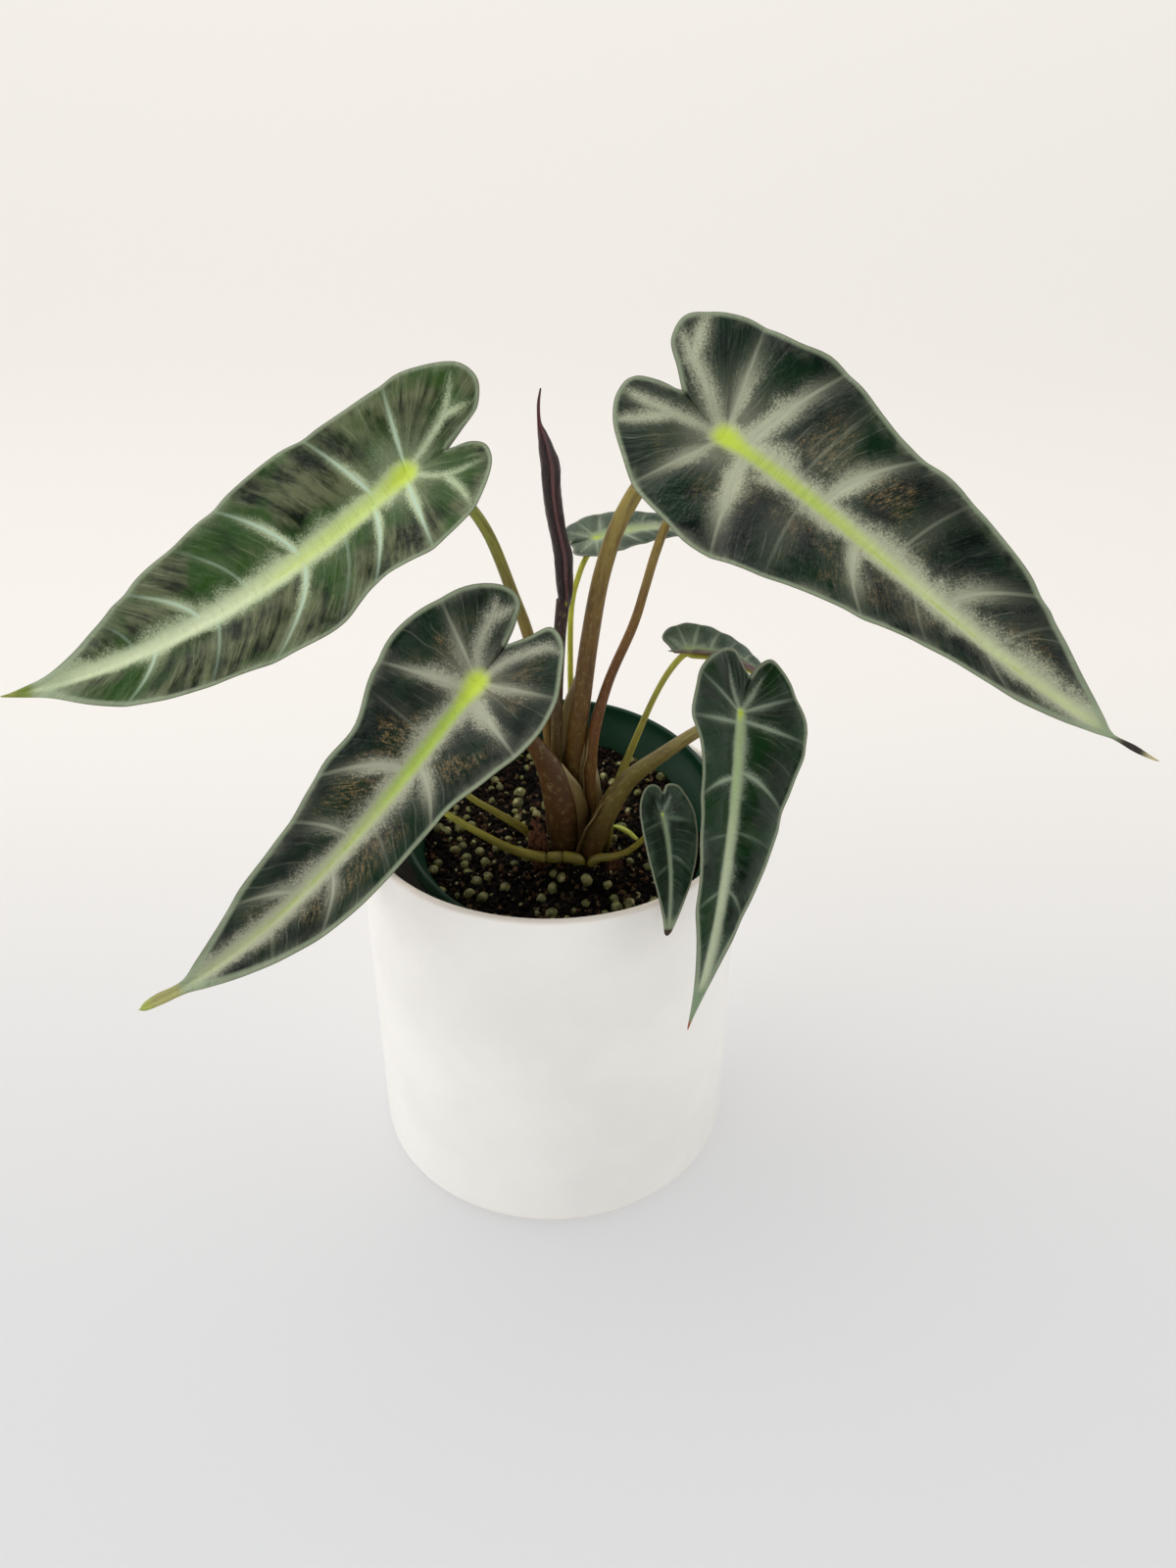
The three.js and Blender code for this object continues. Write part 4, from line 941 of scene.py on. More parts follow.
def limb(stations, around=16, per_step=8, squash=1.0):
    """A round limb along (x, y, z, radius) stations, with blunt ends, and for each point its direction from
    the limb's middle and how far along the limb it lies"""
    line = smooth_line(stations, per_step, True)
    centres, radii = line[:, :3], np.maximum(line[:, 3], 0.05)
    ahead = unit(np.gradient(centres, axis=0))
    first = unit(np.array([1.0, 0, 0]) - ahead * ahead[:, :1])
    second = np.cross(ahead, first)
    gone = distances(centres)
    points, knows = [], []
    for centre, radius, a, b, at in zip(centres, radii, first, second, gone):
        for k in range(around):
            turn = 2 * math.pi * k / around
            points.append(centre + radius * (math.cos(turn) * a + squash * math.sin(turn) * b))
            knows.append((math.cos(turn), math.sin(turn), at))
    for row, end in ((0, -1), (-1, 1)):
        points.append(centres[row] + end * ahead[row] * radii[row] * LIMB_END)
        knows.append((0, 0, gone[row]))
    return np.array(points), tube_faces(len(centres), around), np.array(knows)


def stem_and_rib(leaf, place, length):
    """The stem, which runs on under the blade as its midrib"""
    radius = leaf["stem"][-1][3]
    ribs = []
    for share in RIB_SHARES:
        rib_radius = max(RIB_LEAST, radius * (0.9 - share))
        below = np.array([-BLADE_THICKNESS / 2 - rib_radius])
        at = place(np.array([share * length]), np.zeros(1), below)[0]
        ribs.append((*at, rib_radius))
    return limb([*leaf["stem"], *ribs], around=18 if radius > SLIM_STEM else 12)


def remember(piece, **facts):
    """Keeps numbers or places for each point of a piece, for its finish to read"""
    for name, values in facts.items():
        values = np.asarray(values, np.float32)
        kind, key = ("FLOAT_VECTOR", "vector") if values.ndim == 2 else ("FLOAT", "value")
        piece.data.attributes.new(name, kind, "POINT").data.foreach_set(key, values.ravel())


def remembered(tree, name):
    node = add(tree, "ShaderNodeAttribute", attribute_name=name)
    return node.outputs["Vector"] if name == "lay" else node.outputs["Fac"]


# The finish of a blade's upper face: a dark skin with fine pleats across it, whose paler streaks are partly
# painted reflection, bronze patches and flecks that are partly painted highlights, silver down that fades
# out from the veins, a yellow-green midrib, a pale thin margin and a drip tip of its own colour. Widths are
# in mm, at the joint and at the tip.
BLADE_LOOKS = {
    "glossy green": {
        "deep": (4, 20, 2), "light": (98, 104, 74), "leafy": (30, 70, 4), "bronze_and_sheen": 0.0, "rough": 0.16,
        "silver": (188, 202, 166), "dusk": (106, 120, 88), "down": (9.5, 6.5), "core": (2.4, 1.5),
        "core tint": (194, 214, 124), "core far": (210, 220, 184), "vein": 3.4, "line": (184, 210, 188),
        "strength": 0.95, "blob": 1.0, "relief": 1.5, "shine": 0.16, "hem": 1.7,
    },
    "bronzed": {
        "deep": (4, 14, 10), "light": (22, 36, 27), "leafy": (12, 38, 18), "bronze_and_sheen": 0.65, "rough": 0.25,
        "silver": (182, 186, 160), "dusk": (100, 104, 88), "down": (11.5, 8.0), "core": (1.8, 1.3),
        "core tint": (176, 198, 88), "core far": (198, 208, 162), "vein": 7.4, "line": (166, 172, 150),
        "strength": 0.95, "blob": 1.0, "relief": 1.2, "shine": 0.2, "hem": 1.9,
    },
    "dusky": {
        "deep": (4, 14, 10), "light": (22, 36, 27), "leafy": (10, 36, 16), "bronze_and_sheen": 0.8, "rough": 0.25,
        "silver": (168, 170, 150), "dusk": (88, 90, 78), "down": (9.5, 6.5), "core": (1.7, 1.2),
        "core tint": (160, 186, 70), "core far": (178, 186, 146), "vein": 5.8, "line": (164, 168, 148),
        "strength": 0.95, "blob": 1.0, "relief": 1.2, "shine": 0.14, "hem": 1.9,
    },
    "dark green": {
        "deep": (3, 20, 6), "light": (17, 42, 20), "leafy": (8, 46, 11), "bronze_and_sheen": 0.05, "rough": 0.28,
        "silver": (150, 162, 140), "dusk": (68, 82, 68), "down": (4.4, 3.4), "core": (1.3, 1.05),
        "core tint": (166, 188, 138), "core far": (192, 202, 170), "vein": 2.4, "line": (146, 164, 140),
        "strength": 0.85, "blob": 0.3, "relief": 0.9, "shine": 0.2, "hem": 1.5,
    },
    "small green": {
        "deep": (6, 20, 10), "light": (24, 46, 28), "leafy": (12, 42, 17), "bronze_and_sheen": 0.0, "rough": 0.3,
        "silver": (134, 152, 130), "dusk": (76, 98, 78), "down": (2.4, 1.3), "core": (0.45, 0.35),
        "core tint": (140, 158, 122), "core far": (150, 166, 138), "vein": 1.3, "line": (124, 146, 120),
        "strength": 0.7, "blob": 0.12, "relief": 0.6, "shine": 0.2, "hem": 0.8,
    },
    "silvery green": {
        "deep": (30, 52, 36), "light": (58, 80, 60), "leafy": (30, 62, 34), "bronze_and_sheen": 0.0, "rough": 0.3,
        "silver": (162, 178, 152), "dusk": (104, 122, 104), "down": (6.5, 4.0), "core": (1.4, 1.0),
        "core tint": (170, 194, 128), "core far": (178, 192, 160), "vein": 4.0, "line": (168, 184, 158),
        "strength": 0.9, "blob": 0.25, "relief": 0.6, "shine": 0.3, "hem": 0.8,
    },
}
DRIP_TIPS = {
    "leaf_left": (0.92, (112, 128, 52), (140, 146, 70)),
    "leaf_right": (0.9, (38, 24, 30), (190, 180, 140)),
    "leaf_front_left": (0.89, (160, 158, 102), (160, 168, 86)),
    "leaf_front_right": (0.85, (126, 146, 118), (150, 84, 62)),
    "leaf_small_front": (0.92, (60, 40, 30), (60, 40, 30)),
}
PLAIN_TIP = (0.92, (96, 110, 78), (96, 110, 78))
BRONZE_AND_SHEEN_TONE = (96, 88, 66)
BRONZE_AND_GLINT_FLECK = (144, 118, 78)
JOINT_TINT = (188, 208, 72)
HEM_TINT = (142, 154, 128)
EDGE_TINT = (96, 92, 72)
TIP_SHADE = (148, 164, 132)
UNDERSIDE_DARK = (88, 44, 54)
UNDERSIDE_LIGHT = (112, 66, 66)
UNDERSIDE_VEIN = (136, 120, 84)
UNDERSIDE_EDGE = (128, 130, 106)
STEM_STREAK = (72, 50, 34)
STEM_MOTTLE = (168, 158, 98)


def blade_skin(leaf):
    look = BLADE_LOOKS[leaf["look"]]
    finish, tree, shader = new_finish(leaf["name"] + "_skin")
    place, lay = object_place(tree), remembered(tree, "lay")
    rib, edge, joint, along, cell, spacing, strength, reach, lobe = (
        remembered(tree, name) for name in BLADE_FACTS)

    # Skin: blotches and pleats between two dark tones, greener towards the margin. The paler tone is partly
    # painted reflection, grey streaks that stand for the gloss of the swollen blade
    pleats = grain(tree, scaled(tree, lay, (0.3, 0.07, 1)), 1.0, 4, 0.6)
    fibres = grain(tree, scaled(tree, lay, (2.2, 0.6, 1)), 1.0, 3, 0.7)
    cloud = grain(tree, place, 75, 4)
    fine = grain(tree, place, 1700, 3, 0.75)
    tone_and_sheen_streaks = plus(tree, times(tree, cloud, 0.45), times(tree, pleats, 0.55))
    skin = mixed(tree, fade(tree, tone_and_sheen_streaks, 0.4, 0.62), colour(*look["deep"]), colour(*look["light"]))
    leafy = fade(tree, grain(tree, place, 48, 3), 0.44, 0.62)
    skin = mixed(tree, times(tree, leafy, 0.85), skin, colour(*look["leafy"]))
    # Bronze patches and tan flecks near the midrib: partly the blade's own bronze tint, partly painted
    # highlights on its wrinkles
    bronze_and_sheen_strokes = grain(tree, scaled(tree, lay, (0.9, 0.36, 1)), 1.0, 4, 0.7)
    patch = times(tree, fade(tree, grain(tree, place, 55, 2), 0.46, 0.6), fade(tree, bronze_and_sheen_strokes, 0.42, 0.6))
    patch = times(tree, patch, fade(tree, edge, 3, 9), fade(tree, rib, 28, 14), look["bronze_and_sheen"])
    skin = mixed(tree, times(tree, patch, 0.7), skin, colour(*BRONZE_AND_SHEEN_TONE))
    skin = mixed(tree, times(tree, patch, fade(tree, fine, 0.48, 0.62)), skin, colour(*BRONZE_AND_GLINT_FLECK))

    # Silver down: broad along the midrib, narrower along the side veins and thinning out towards the margin
    feather = times(tree, sums(tree, "SUBTRACT", fibres, 0.5), 0.7)
    speck = times(tree, sums(tree, "SUBTRACT", fine, 0.5), 2.6)
    ragged = plus(tree, feather, speck)
    billow = fade(tree, grain(tree, place, 90, 3, 0.6), 0.32, 0.68, 0.75, 1.25)
    wide, narrow = look["down"]
    rib_width = times(tree, fade(tree, along, 0.0, 1.0, wide, narrow), billow)
    by_rib = sums(tree, "SUBTRACT", 1.0, sums(tree, "DIVIDE", rib, rib_width))
    by_rib = fade(tree, plus(tree, by_rib, times(tree, ragged, 0.32)), 0.0, 0.9)
    gap = times(tree, sums(tree, "PINGPONG", cell, 0.5), spacing)
    thinning = times(tree, sums(tree, "POWER", strength, 1.6), fade(tree, reach, 1.15, 0.3, 0.1, 1.0))
    vein_width = fade(tree, reach, 0.1, 0.9, 1.2 * look["vein"], 0.8 * look["vein"])
    by_vein = sums(tree, "SUBTRACT", 1.0, sums(tree, "DIVIDE", gap, times(tree, vein_width, billow)))
    by_vein = plus(tree, by_vein, times(tree, ragged, 0.45))
    by_vein = times(tree, fade(tree, by_vein, 0.0, 0.9), thinning)
    by_lobe = sums(tree, "SUBTRACT", 1.0, sums(tree, "DIVIDE", lobe, 0.85 * look["vein"] + 0.6))
    by_lobe = fade(tree, plus(tree, by_lobe, times(tree, speck, 0.4)), 0.0, 1.05, 0.0, 0.9)
    by_joint = fade(tree, plus(tree, joint, times(tree, speck, 4)), 2.1 * wide, 0.5 * wide)
    by_joint = times(tree, by_joint, 0.55)
    by_margin = fade(tree, plus(tree, edge, times(tree, ragged, 1.5)), 5.5, 1.0, 0.0, 0.45)
    by_margin = times(tree, by_margin, fade(tree, billow, 0.8, 1.2))
    by_tip = times(tree, fade(tree, along, 0.76, 0.92), fade(tree, billow, 0.6, 1.0), 0.8)
    silver = most(tree, by_rib, by_vein, by_lobe, by_joint, by_margin, by_tip)
    down = mixed(tree, fade(tree, silver, 0.2, 0.95), colour(*look["dusk"]), colour(*look["silver"]))
    skin = mixed(tree, times(tree, silver, look["strength"]), skin, down)
    line = times(tree, fade(tree, gap, 0.75, 0.2), thinning)
    skin = mixed(tree, times(tree, line, 0.85), skin, colour(*look["line"]))

    # Finer veins between the side veins
    between = plus(tree, times(tree, cell, 4.0), times(tree, grain(tree, place, 45, 2), 1.6))
    between = times(tree, sums(tree, "PINGPONG", between, 0.5), spacing, 0.25)
    net = times(tree, fade(tree, between, 0.34, 0.08), fade(tree, cloud, 0.45, 0.6))
    net = times(tree, net, fade(tree, reach, 0.1, 0.4))
    skin = mixed(tree, times(tree, net, 0.1), skin, colour(*look["silver"]))

    # Midrib, joint, margin and drip tip
    wide, narrow = look["core"]
    core = sums(tree, "DIVIDE", rib, fade(tree, along, 0.0, 1.0, wide, narrow))
    core = fade(tree, plus(tree, core, times(tree, ragged, 0.7)), 1.9, 0.2)
    near, far = colour(*look["core tint"]), colour(*look["core far"])
    skin = mixed(tree, times(tree, core, 0.9), skin, mixed(tree, fade(tree, along, 0.16, 0.55), near, far))
    crease = times(tree, fade(tree, rib, 0.7, 0.2), fade(tree, cloud, 0.42, 0.58))
    crease = times(tree, crease, fade(tree, along, 0.9, 0.5))
    skin = mixed(tree, times(tree, crease, 0.5), skin, near)
    blob = plus(tree, times(tree, joint, 0.11 / look["blob"]), times(tree, rib, 0.15 / look["blob"]))
    blob = fade(tree, plus(tree, blob, times(tree, ragged, 0.3)), 1.35, 0.25, 0.0, 0.92)
    skin = mixed(tree, blob, skin, colour(*JOINT_TINT))
    wide, narrow = look["hem"], 0.3 * look["hem"]
    hem = sums(tree, "SUBTRACT", edge, fade(tree, along, 0.5, 0.95, 0.0, 0.5 * wide))
    skin = mixed(tree, fade(tree, hem, wide, narrow, 0.0, 0.8), skin, colour(*HEM_TINT))
    skin = mixed(tree, fade(tree, edge, 0.5, 0.2, 0.0, 0.5), skin, colour(*EDGE_TINT))
    start, tip, point = DRIP_TIPS.get(leaf["name"], PLAIN_TIP)
    skin = mixed(tree, fade(tree, along, 0.8, 0.9, 0.0, 0.6), skin, colour(*TIP_SHADE))
    skin = mixed(tree, fade(tree, along, start, start + 0.03, 0.0, 0.95), skin, colour(*tip))
    skin = mixed(tree, fade(tree, along, 0.96, 0.985), skin, colour(*point))

    ridged = plus(tree, pleats, times(tree, fibres, 0.12), times(tree, cloud, 0.8))
    ridged = times(tree, ridged, fade(tree, joint, 2, 9))
    clouded = times(tree, fade(tree, cloud, 0.4, 0.7), 0.08)
    gloss = plus(tree, times(tree, silver, 0.3), look["rough"], clouded)
    dress(tree, shader, skin, gloss, ridged, look["relief"], look["shine"])
    return finish


def blade_underside():
    finish, tree, shader = new_finish("blade_underside")
    place = object_place(tree)
    cell, spacing, strength = (remembered(tree, name) for name in ("cell", "spacing", "strength"))
    gap = times(tree, sums(tree, "PINGPONG", cell, 0.5), spacing)
    skin = mixed(tree, grain(tree, place, 90, 4), colour(*UNDERSIDE_DARK), colour(*UNDERSIDE_LIGHT))
    pale = times(tree, fade(tree, gap, 1.3, 0.5), strength, 0.8)
    pale = most(tree, pale, fade(tree, remembered(tree, "rib"), 3.0, 1.5))
    skin = mixed(tree, times(tree, pale, 0.7), skin, colour(*UNDERSIDE_VEIN))
    skin = mixed(tree, fade(tree, remembered(tree, "edge"), 1.4, 0.5), skin, colour(*UNDERSIDE_EDGE))
    creased = grain(tree, scaled(tree, remembered(tree, "lay"), (0.5, 0.1, 1)), 1.0, 4)
    dress(tree, shader, skin, 0.48, creased, 0.3)
    return finish


def stem_skin(name, low, high, top):
    """A stem's finish: long mottled streaks over a tone that changes from its foot to the joint"""
    finish, tree, shader = new_finish(name)
    lay, along = remembered(tree, "lay"), remembered(tree, "along")
    streak = grain(tree, scaled(tree, lay, (1.6, 1.6, 0.1)), 1.0, 5, 0.65)
    mottle = grain(tree, scaled(tree, lay, (2.2, 2.2, 0.4)), 1.0, 4, 0.7)
    skin = mixed(tree, fade(tree, along, 0.0, 0.55), colour(*low), colour(*high))
    skin = mixed(tree, fade(tree, along, 0.45, 1.0), skin, colour(*top))
    skin = mixed(tree, fade(tree, streak, 0.42, 0.66, 0.0, 0.5), skin, colour(*STEM_STREAK))
    skin = mixed(tree, fade(tree, mottle, 0.52, 0.7, 0.0, 0.4), skin, colour(*STEM_MOTTLE))
    dress(tree, shader, skin, 0.4, streak, 0.3, shine=0.3)
    return finish


underside = blade_underside()
STEM_LOOKS = {
    "leaf_left": stem_skin("green_stem", (132, 92, 54), (138, 116, 56), (150, 160, 66)),
    "leaf_right": stem_skin("brown_stem", (94, 68, 20), (118, 88, 44), (148, 136, 64)),
    "leaf_front_left": stem_skin("mauve_stem", (66, 44, 18), (90, 60, 32), (112, 100, 54)),
    "leaf_front_right": stem_skin("olive_stem", (84, 54, 26), (112, 102, 50), (146, 134, 78)),
    "leaf_rear": stem_skin("bright_stem", (186, 200, 56), (224, 232, 70), (230, 238, 90)),
    "leaf_hidden_right": stem_skin("red_brown_stem", (116, 92, 44), (126, 78, 42), (140, 124, 56)),
}
slim_stem = stem_skin("slim_stem", (122, 112, 48), (148, 142, 54), (190, 192, 76))


def leaf_piece(leaf):
    points, upper, lower, knows, place, length = blade(leaf)
    stem_points, stem_faces, stem_knows = stem_and_rib(leaf, place, length)
    base = len(points)
    faces = upper + lower + [[v + base for v in face] for face in stem_faces]
    piece = new_piece(leaf["name"] + "_grown", np.vstack([points, stem_points]), faces,
                      blade_skin(leaf), underside, STEM_LOOKS.get(leaf["name"], slim_stem))
    looks = [0] * len(upper) + [1] * len(lower) + [2] * len(stem_faces)
    piece.data.polygons.foreach_set("material_index", looks)
    stem_length = np.linalg.norm(np.diff(np.array(leaf["stem"])[:, :3], axis=0), axis=1).sum()
    far = np.full(len(stem_points), FAR_AWAY)
    facts = {name: np.append(knows[:, k], far) for k, name in enumerate(BLADE_FACTS)}
    facts["along"][base:] = stem_knows[:, 2] / stem_length
    lay = np.stack([knows[:, -2], knows[:, -1], 0 * knows[:, -1]], axis=1)
    remember(piece, lay=np.vstack([lay, stem_knows]), **facts)
    return piece


for leaf in LEAVES:
    piece = leaf_piece(leaf)
    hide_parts(leaf["name"])
    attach(piece, "root")

# Sheath wings: thin skins that stand out from both sides of a stem's lower part, where it once wrapped the
# next stem. Each grew with its stem and dries to a pale, slightly torn edge. A wing is told by its leaf, the
# heights it runs between, the direction it leaves the stem in (degrees from +X), its width and its curl.
WING_THICKNESS = 0.35
WING_ROWS = 36
WING_STEPS = 8
WING_RIPPLE = 0.35
WING_LOW = (94, 66, 34)
WING_HIGH = (134, 116, 66)
WING_STREAK = (78, 50, 38)
WING_EDGE = (186, 172, 126)
WINGS = [
    ("leaf_front_left", 107, 146, -15, 5.4, 75),
    ("leaf_front_left", 126, 156, 165, 3.4, -70),
    ("leaf_right", 108, 150, -60, 3.2, 90),
    ("leaf_right", 112, 172, 180, 6.7, -40),
    ("leaf_hidden_right", 112, 152, 205, 4.4, 80),
    ("leaf_hidden_right", 112, 140, -50, 2.8, 60),
    ("leaf_front_right", 106, 143, 105, 4.4, -70),
    ("leaf_front_right", 107, 134, 195, 5.2, 60),
    ("leaf_left", 110, 150, -70, 2.4, 70),
]


def wing_skin():
    finish, tree, shader = new_finish("sheath_wing")
    lay, along = remembered(tree, "lay"), remembered(tree, "along")
    fibre = grain(tree, scaled(tree, lay, (2.4, 2.4, 0.12)), 1.0, 4, 0.65)
    skin = mixed(tree, fade(tree, along, 0.0, 0.9), colour(*WING_LOW), colour(*WING_HIGH))
    skin = mixed(tree, fade(tree, fibre, 0.45, 0.68, 0.0, 0.5), skin, colour(*WING_STREAK))
    skin = mixed(tree, fade(tree, remembered(tree, "edge"), 1.1, 0.2, 0.0, 0.7), skin, colour(*WING_EDGE))
    dress(tree, shader, skin, 0.5, fibre, 0.3)
    return finish


def wing_piece(name, leaf, foot, top, toward, width, curl, finish, rows=WING_ROWS, steps=WING_STEPS):
    """A thin skin with two faces, rooted in a stem. Its width tapers to nothing at its top"""
    line = smooth_line(leaf["stem"], 12, True)
    heights = np.linspace(foot, top, rows + 1)
    stem = points_at(heights, line[:, 2], line)
    points, knows = [], []
    for row, (x, y, z, radius) in enumerate(stem):
        share = row / rows
        reach = width * (1 - share**3) * (0.85 + 0.3 * noise.noise((share * 5, toward, 0)))
        for side in (0.5, -0.5):
            for step in range(steps + 1):
                out = step / steps
                turn = math.radians(toward + curl * out * 0.5)
                far = radius - 0.5 + (reach + 0.5) * out
                thick = side * WING_THICKNESS * math.sqrt(1 - out * 0.97)
                wave = WING_RIPPLE * out * math.sin(z * 0.5 + toward) + thick
                points.append((x + far * math.cos(turn) - wave * math.sin(turn),
                               y + far * math.sin(turn) + wave * math.cos(turn), z + 1.2 * out * share))
                knows.append((reach * (1 - out) + 2 * (1 - share), share, out * reach, radius * turn, z))
    across = 2 * (steps + 1)
    faces = []
    for row in range(rows):
        here, there = row * across, (row + 1) * across
        for step in range(steps):
            faces.append([here + step, there + step, there + step + 1, here + step + 1])
            back, on = step + steps + 1, step + steps + 2
            faces.append([here + back, here + on, there + on, there + back])
        faces.append([here, here + steps + 1, there + steps + 1, there])
        faces.append([here + steps, there + steps, there + across - 1, here + across - 1])
    for row, flip in ((0, False), (rows, True)):
        ring = [row * across + k for k in range(steps + 1)]
        ring += [row * across + k for k in range(across - 1, steps, -1)]
        faces.append(ring[::-1] if flip else ring)
    piece = new_piece(name, points, faces, finish)
    knows = np.array(knows)
    remember(piece, edge=knows[:, 0], along=knows[:, 1], lay=knows[:, 2:])
    return piece


wing_look = wing_skin()
by_name = {leaf["name"]: leaf for leaf in LEAVES}
for count, (leaf_name, *shape) in enumerate(WINGS):
    piece = wing_piece(f"sheath_wing_{count + 1}", by_name[leaf_name], *shape, wing_look)
    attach(piece, "root")

# Potting mix: almost black peat and bark crumbs with pale beads of slow fertiliser and perlite, and a little
# moss. It fills the nursery pot to its shoulder and is heaped loosely against the crown.
SOIL_TOP = 66.0
SOIL_RADIUS = 45.9
SOIL_FOOT_RADIUS = 33.2
SOIL_UNDERSIDE = 1.7
CROWN_CENTRE = (4.9, -7.1)
CROWN_RADIUS = 13.2
HEAP_CENTRE = (6.5, -19)
HEAP_REACH = (11, 5)
HEAP_HEIGHT = 8.0
SOIL_RINGS = 64
SOIL_AROUND = 150


def bumps(x, y, size):
    """A soft bumpy height over the plane, from -1 to 1"""
    first = math.sin(x / size + 1.3 * math.sin(y / size / 1.7))
    return (first + math.sin(y / size / 0.8 + 1.1 * math.sin(x / size / 1.3 + 2))) / 2


def soil_height(x, y):
    away = math.hypot(x - CROWN_CENTRE[0], y - CROWN_CENTRE[1]) - CROWN_RADIUS
    share = min(max((away - 1) / 11, 0), 1)
    lumps = 0.75 * bumps(x, y, 5) + 0.25 * bumps(y, x, 2.1)
    fine = 0.5 * noise.noise((x / 1.6, y / 1.6, 4.0))
    off = [(x - HEAP_CENTRE[0]) / HEAP_REACH[0], (y - HEAP_CENTRE[1]) / HEAP_REACH[1]]
    heap = HEAP_HEIGHT * math.exp(-off[0] ** 2 - off[1] ** 2)
    return SOIL_TOP - 0.4 + share * share * (3 - 2 * share) * (1.1 * lumps + fine) + heap


def soil_finish(name, low, high, speck, rough=0.95, shine=0.15):
    """A crumbly finish between two tones, with single grains of a third"""
    finish, tree, shader = new_finish(name)
    place = object_place(tree)
    tone = mixed(tree, fade(tree, grain(tree, place, 420, 2), 0.35, 0.65), colour(*low), colour(*high))
    cells = add(tree, "ShaderNodeTexVoronoi", {"Vector": place, "Scale": 700.0}).outputs["Color"]
    pick = add(tree, "ShaderNodeSeparateColor", {0: cells}).outputs[0]
    tone = mixed(tree, fade(tree, pick, 0.88, 0.94), tone, colour(*speck))
    dress(tree, shader, tone, rough, grain(tree, place, 2400, 4), 0.35, shine)
    return finish


def soil_bed(finish):
    points = [(0, 0, soil_height(0, 0))]
    for ring in range(1, SOIL_RINGS + 1):
        for k in range(SOIL_AROUND):
            turn = 2 * math.pi * k / SOIL_AROUND
            x = SOIL_RADIUS * ring / SOIL_RINGS * math.cos(turn)
            y = SOIL_RADIUS * ring / SOIL_RINGS * math.sin(turn)
            points.append((x, y, soil_height(x, y)))
    for k in range(SOIL_AROUND):
        turn = 2 * math.pi * k / SOIL_AROUND
        points.append((SOIL_FOOT_RADIUS * math.cos(turn), SOIL_FOOT_RADIUS * math.sin(turn), SOIL_UNDERSIDE))
    points.append((0, 0, SOIL_UNDERSIDE))
    faces = []
    for k in range(SOIL_AROUND):
        following = (k + 1) % SOIL_AROUND
        faces.append((0, 1 + k, 1 + following))
        for ring in range(SOIL_RINGS):
            low, high = 1 + ring * SOIL_AROUND, 1 + (ring + 1) * SOIL_AROUND
            faces.append((low + k, high + k, high + following, low + following))
        foot = 1 + SOIL_RINGS * SOIL_AROUND
        faces.append((foot + following, foot + k, len(points) - 1))
    return new_piece("soil_bed", in_liner(points), faces, finish)


mix_look = soil_finish("potting_mix", (5, 4, 3), (22, 16, 11), (84, 68, 48))
soil = soil_bed(mix_look)
strewn = [
    strewn_piece("soil_crumbs", soil, scatter_tree(
        "peat crumbs", mix_look, seed=3, density=520000, sizes=(0.5, 1.7), flatness=0.75, lumps=1.1)),
    strewn_piece("soil_bark", soil, scatter_tree(
        "bark chips", soil_finish("bark", (26, 16, 10), (66, 44, 28), (104, 78, 50), 0.85), seed=17,
        density=52000, sizes=(0.9, 2.2), flatness=0.35, lumps=0.7)),
    strewn_piece("soil_beads", soil, scatter_tree(
        "fertiliser beads", soil_finish("beads", (84, 86, 42), (140, 140, 84), (180, 176, 124), 0.35, 0.5),
        seed=29, density=90000, sizes=(0.8, 2.4), flatness=0.95, lumps=0.1, detail=3, clumping=0.5,
        apart=2.9)),
    strewn_piece("soil_perlite", soil, scatter_tree(
        "perlite", soil_finish("perlite", (138, 128, 92), (190, 180, 140), (216, 210, 186), 0.8), seed=37,
        density=36000, sizes=(0.3, 0.8), flatness=0.8, lumps=0.4, detail=1)),
    strewn_piece("soil_moss", soil, scatter_tree(
        "moss", soil_finish("moss", (44, 66, 18), (96, 120, 34), (130, 150, 60), 0.9), seed=43,
        density=900000, sizes=(0.25, 0.7), flatness=0.6, lumps=0.6, clumping=0.68)),
]
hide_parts("soil")
for piece in (soil, *strewn):
    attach(piece, "root")

# Crown: the low brown corm that every stem grows from, ringed with the scars and the dry, torn remains of
# old leaf sheaths. It grew as one piece. Some of the mix lies on it.
CROWN_TOP = 3.0
CROWN_AROUND = 72
CROWN_ROUGHNESS = 0.05
CORM_DARK = (46, 30, 22)
CORM_LIGHT = (112, 74, 50)
CORM_SCAR = (34, 24, 18)
SHEATH_DARK = (46, 22, 12)
SHEATH_LIGHT = (128, 78, 44)
SHEATH_PALE = (176, 142, 112)
OLD_SHEATHS = [
    [(-2.5, -4, 106, 3.6), (-3.6, -5.4, 113, 3.6), (-4.3, -6.3, 120, 2.9), (-4.8, -6.8, 126, 1.7),
     (-5, -7, 129.5, 0.5)],
    [(19.5, -6, 106, 3), (20.5, -6.5, 111, 2.6), (20.5, -7, 116, 0.7)],
    [(12, 12.5, 109, 3), (12.5, 13.5, 115, 2.6), (12.5, 14, 121, 0.7)],
]


def corm_skin():
    finish, tree, shader = new_finish("corm_skin")
    place = object_place(tree)
    streak = grain(tree, scaled(tree, place, (1, 1, 0.2)), 900, 4, 0.65)
    tone = mixed(tree, fade(tree, streak, 0.35, 0.65), colour(*CORM_DARK), colour(*CORM_LIGHT))
    tone = mixed(tree, fade(tree, grain(tree, place, 300, 2), 0.5, 0.66), tone, colour(*CORM_SCAR))
    dress(tree, shader, tone, 0.8, streak, 0.6)
    return finish


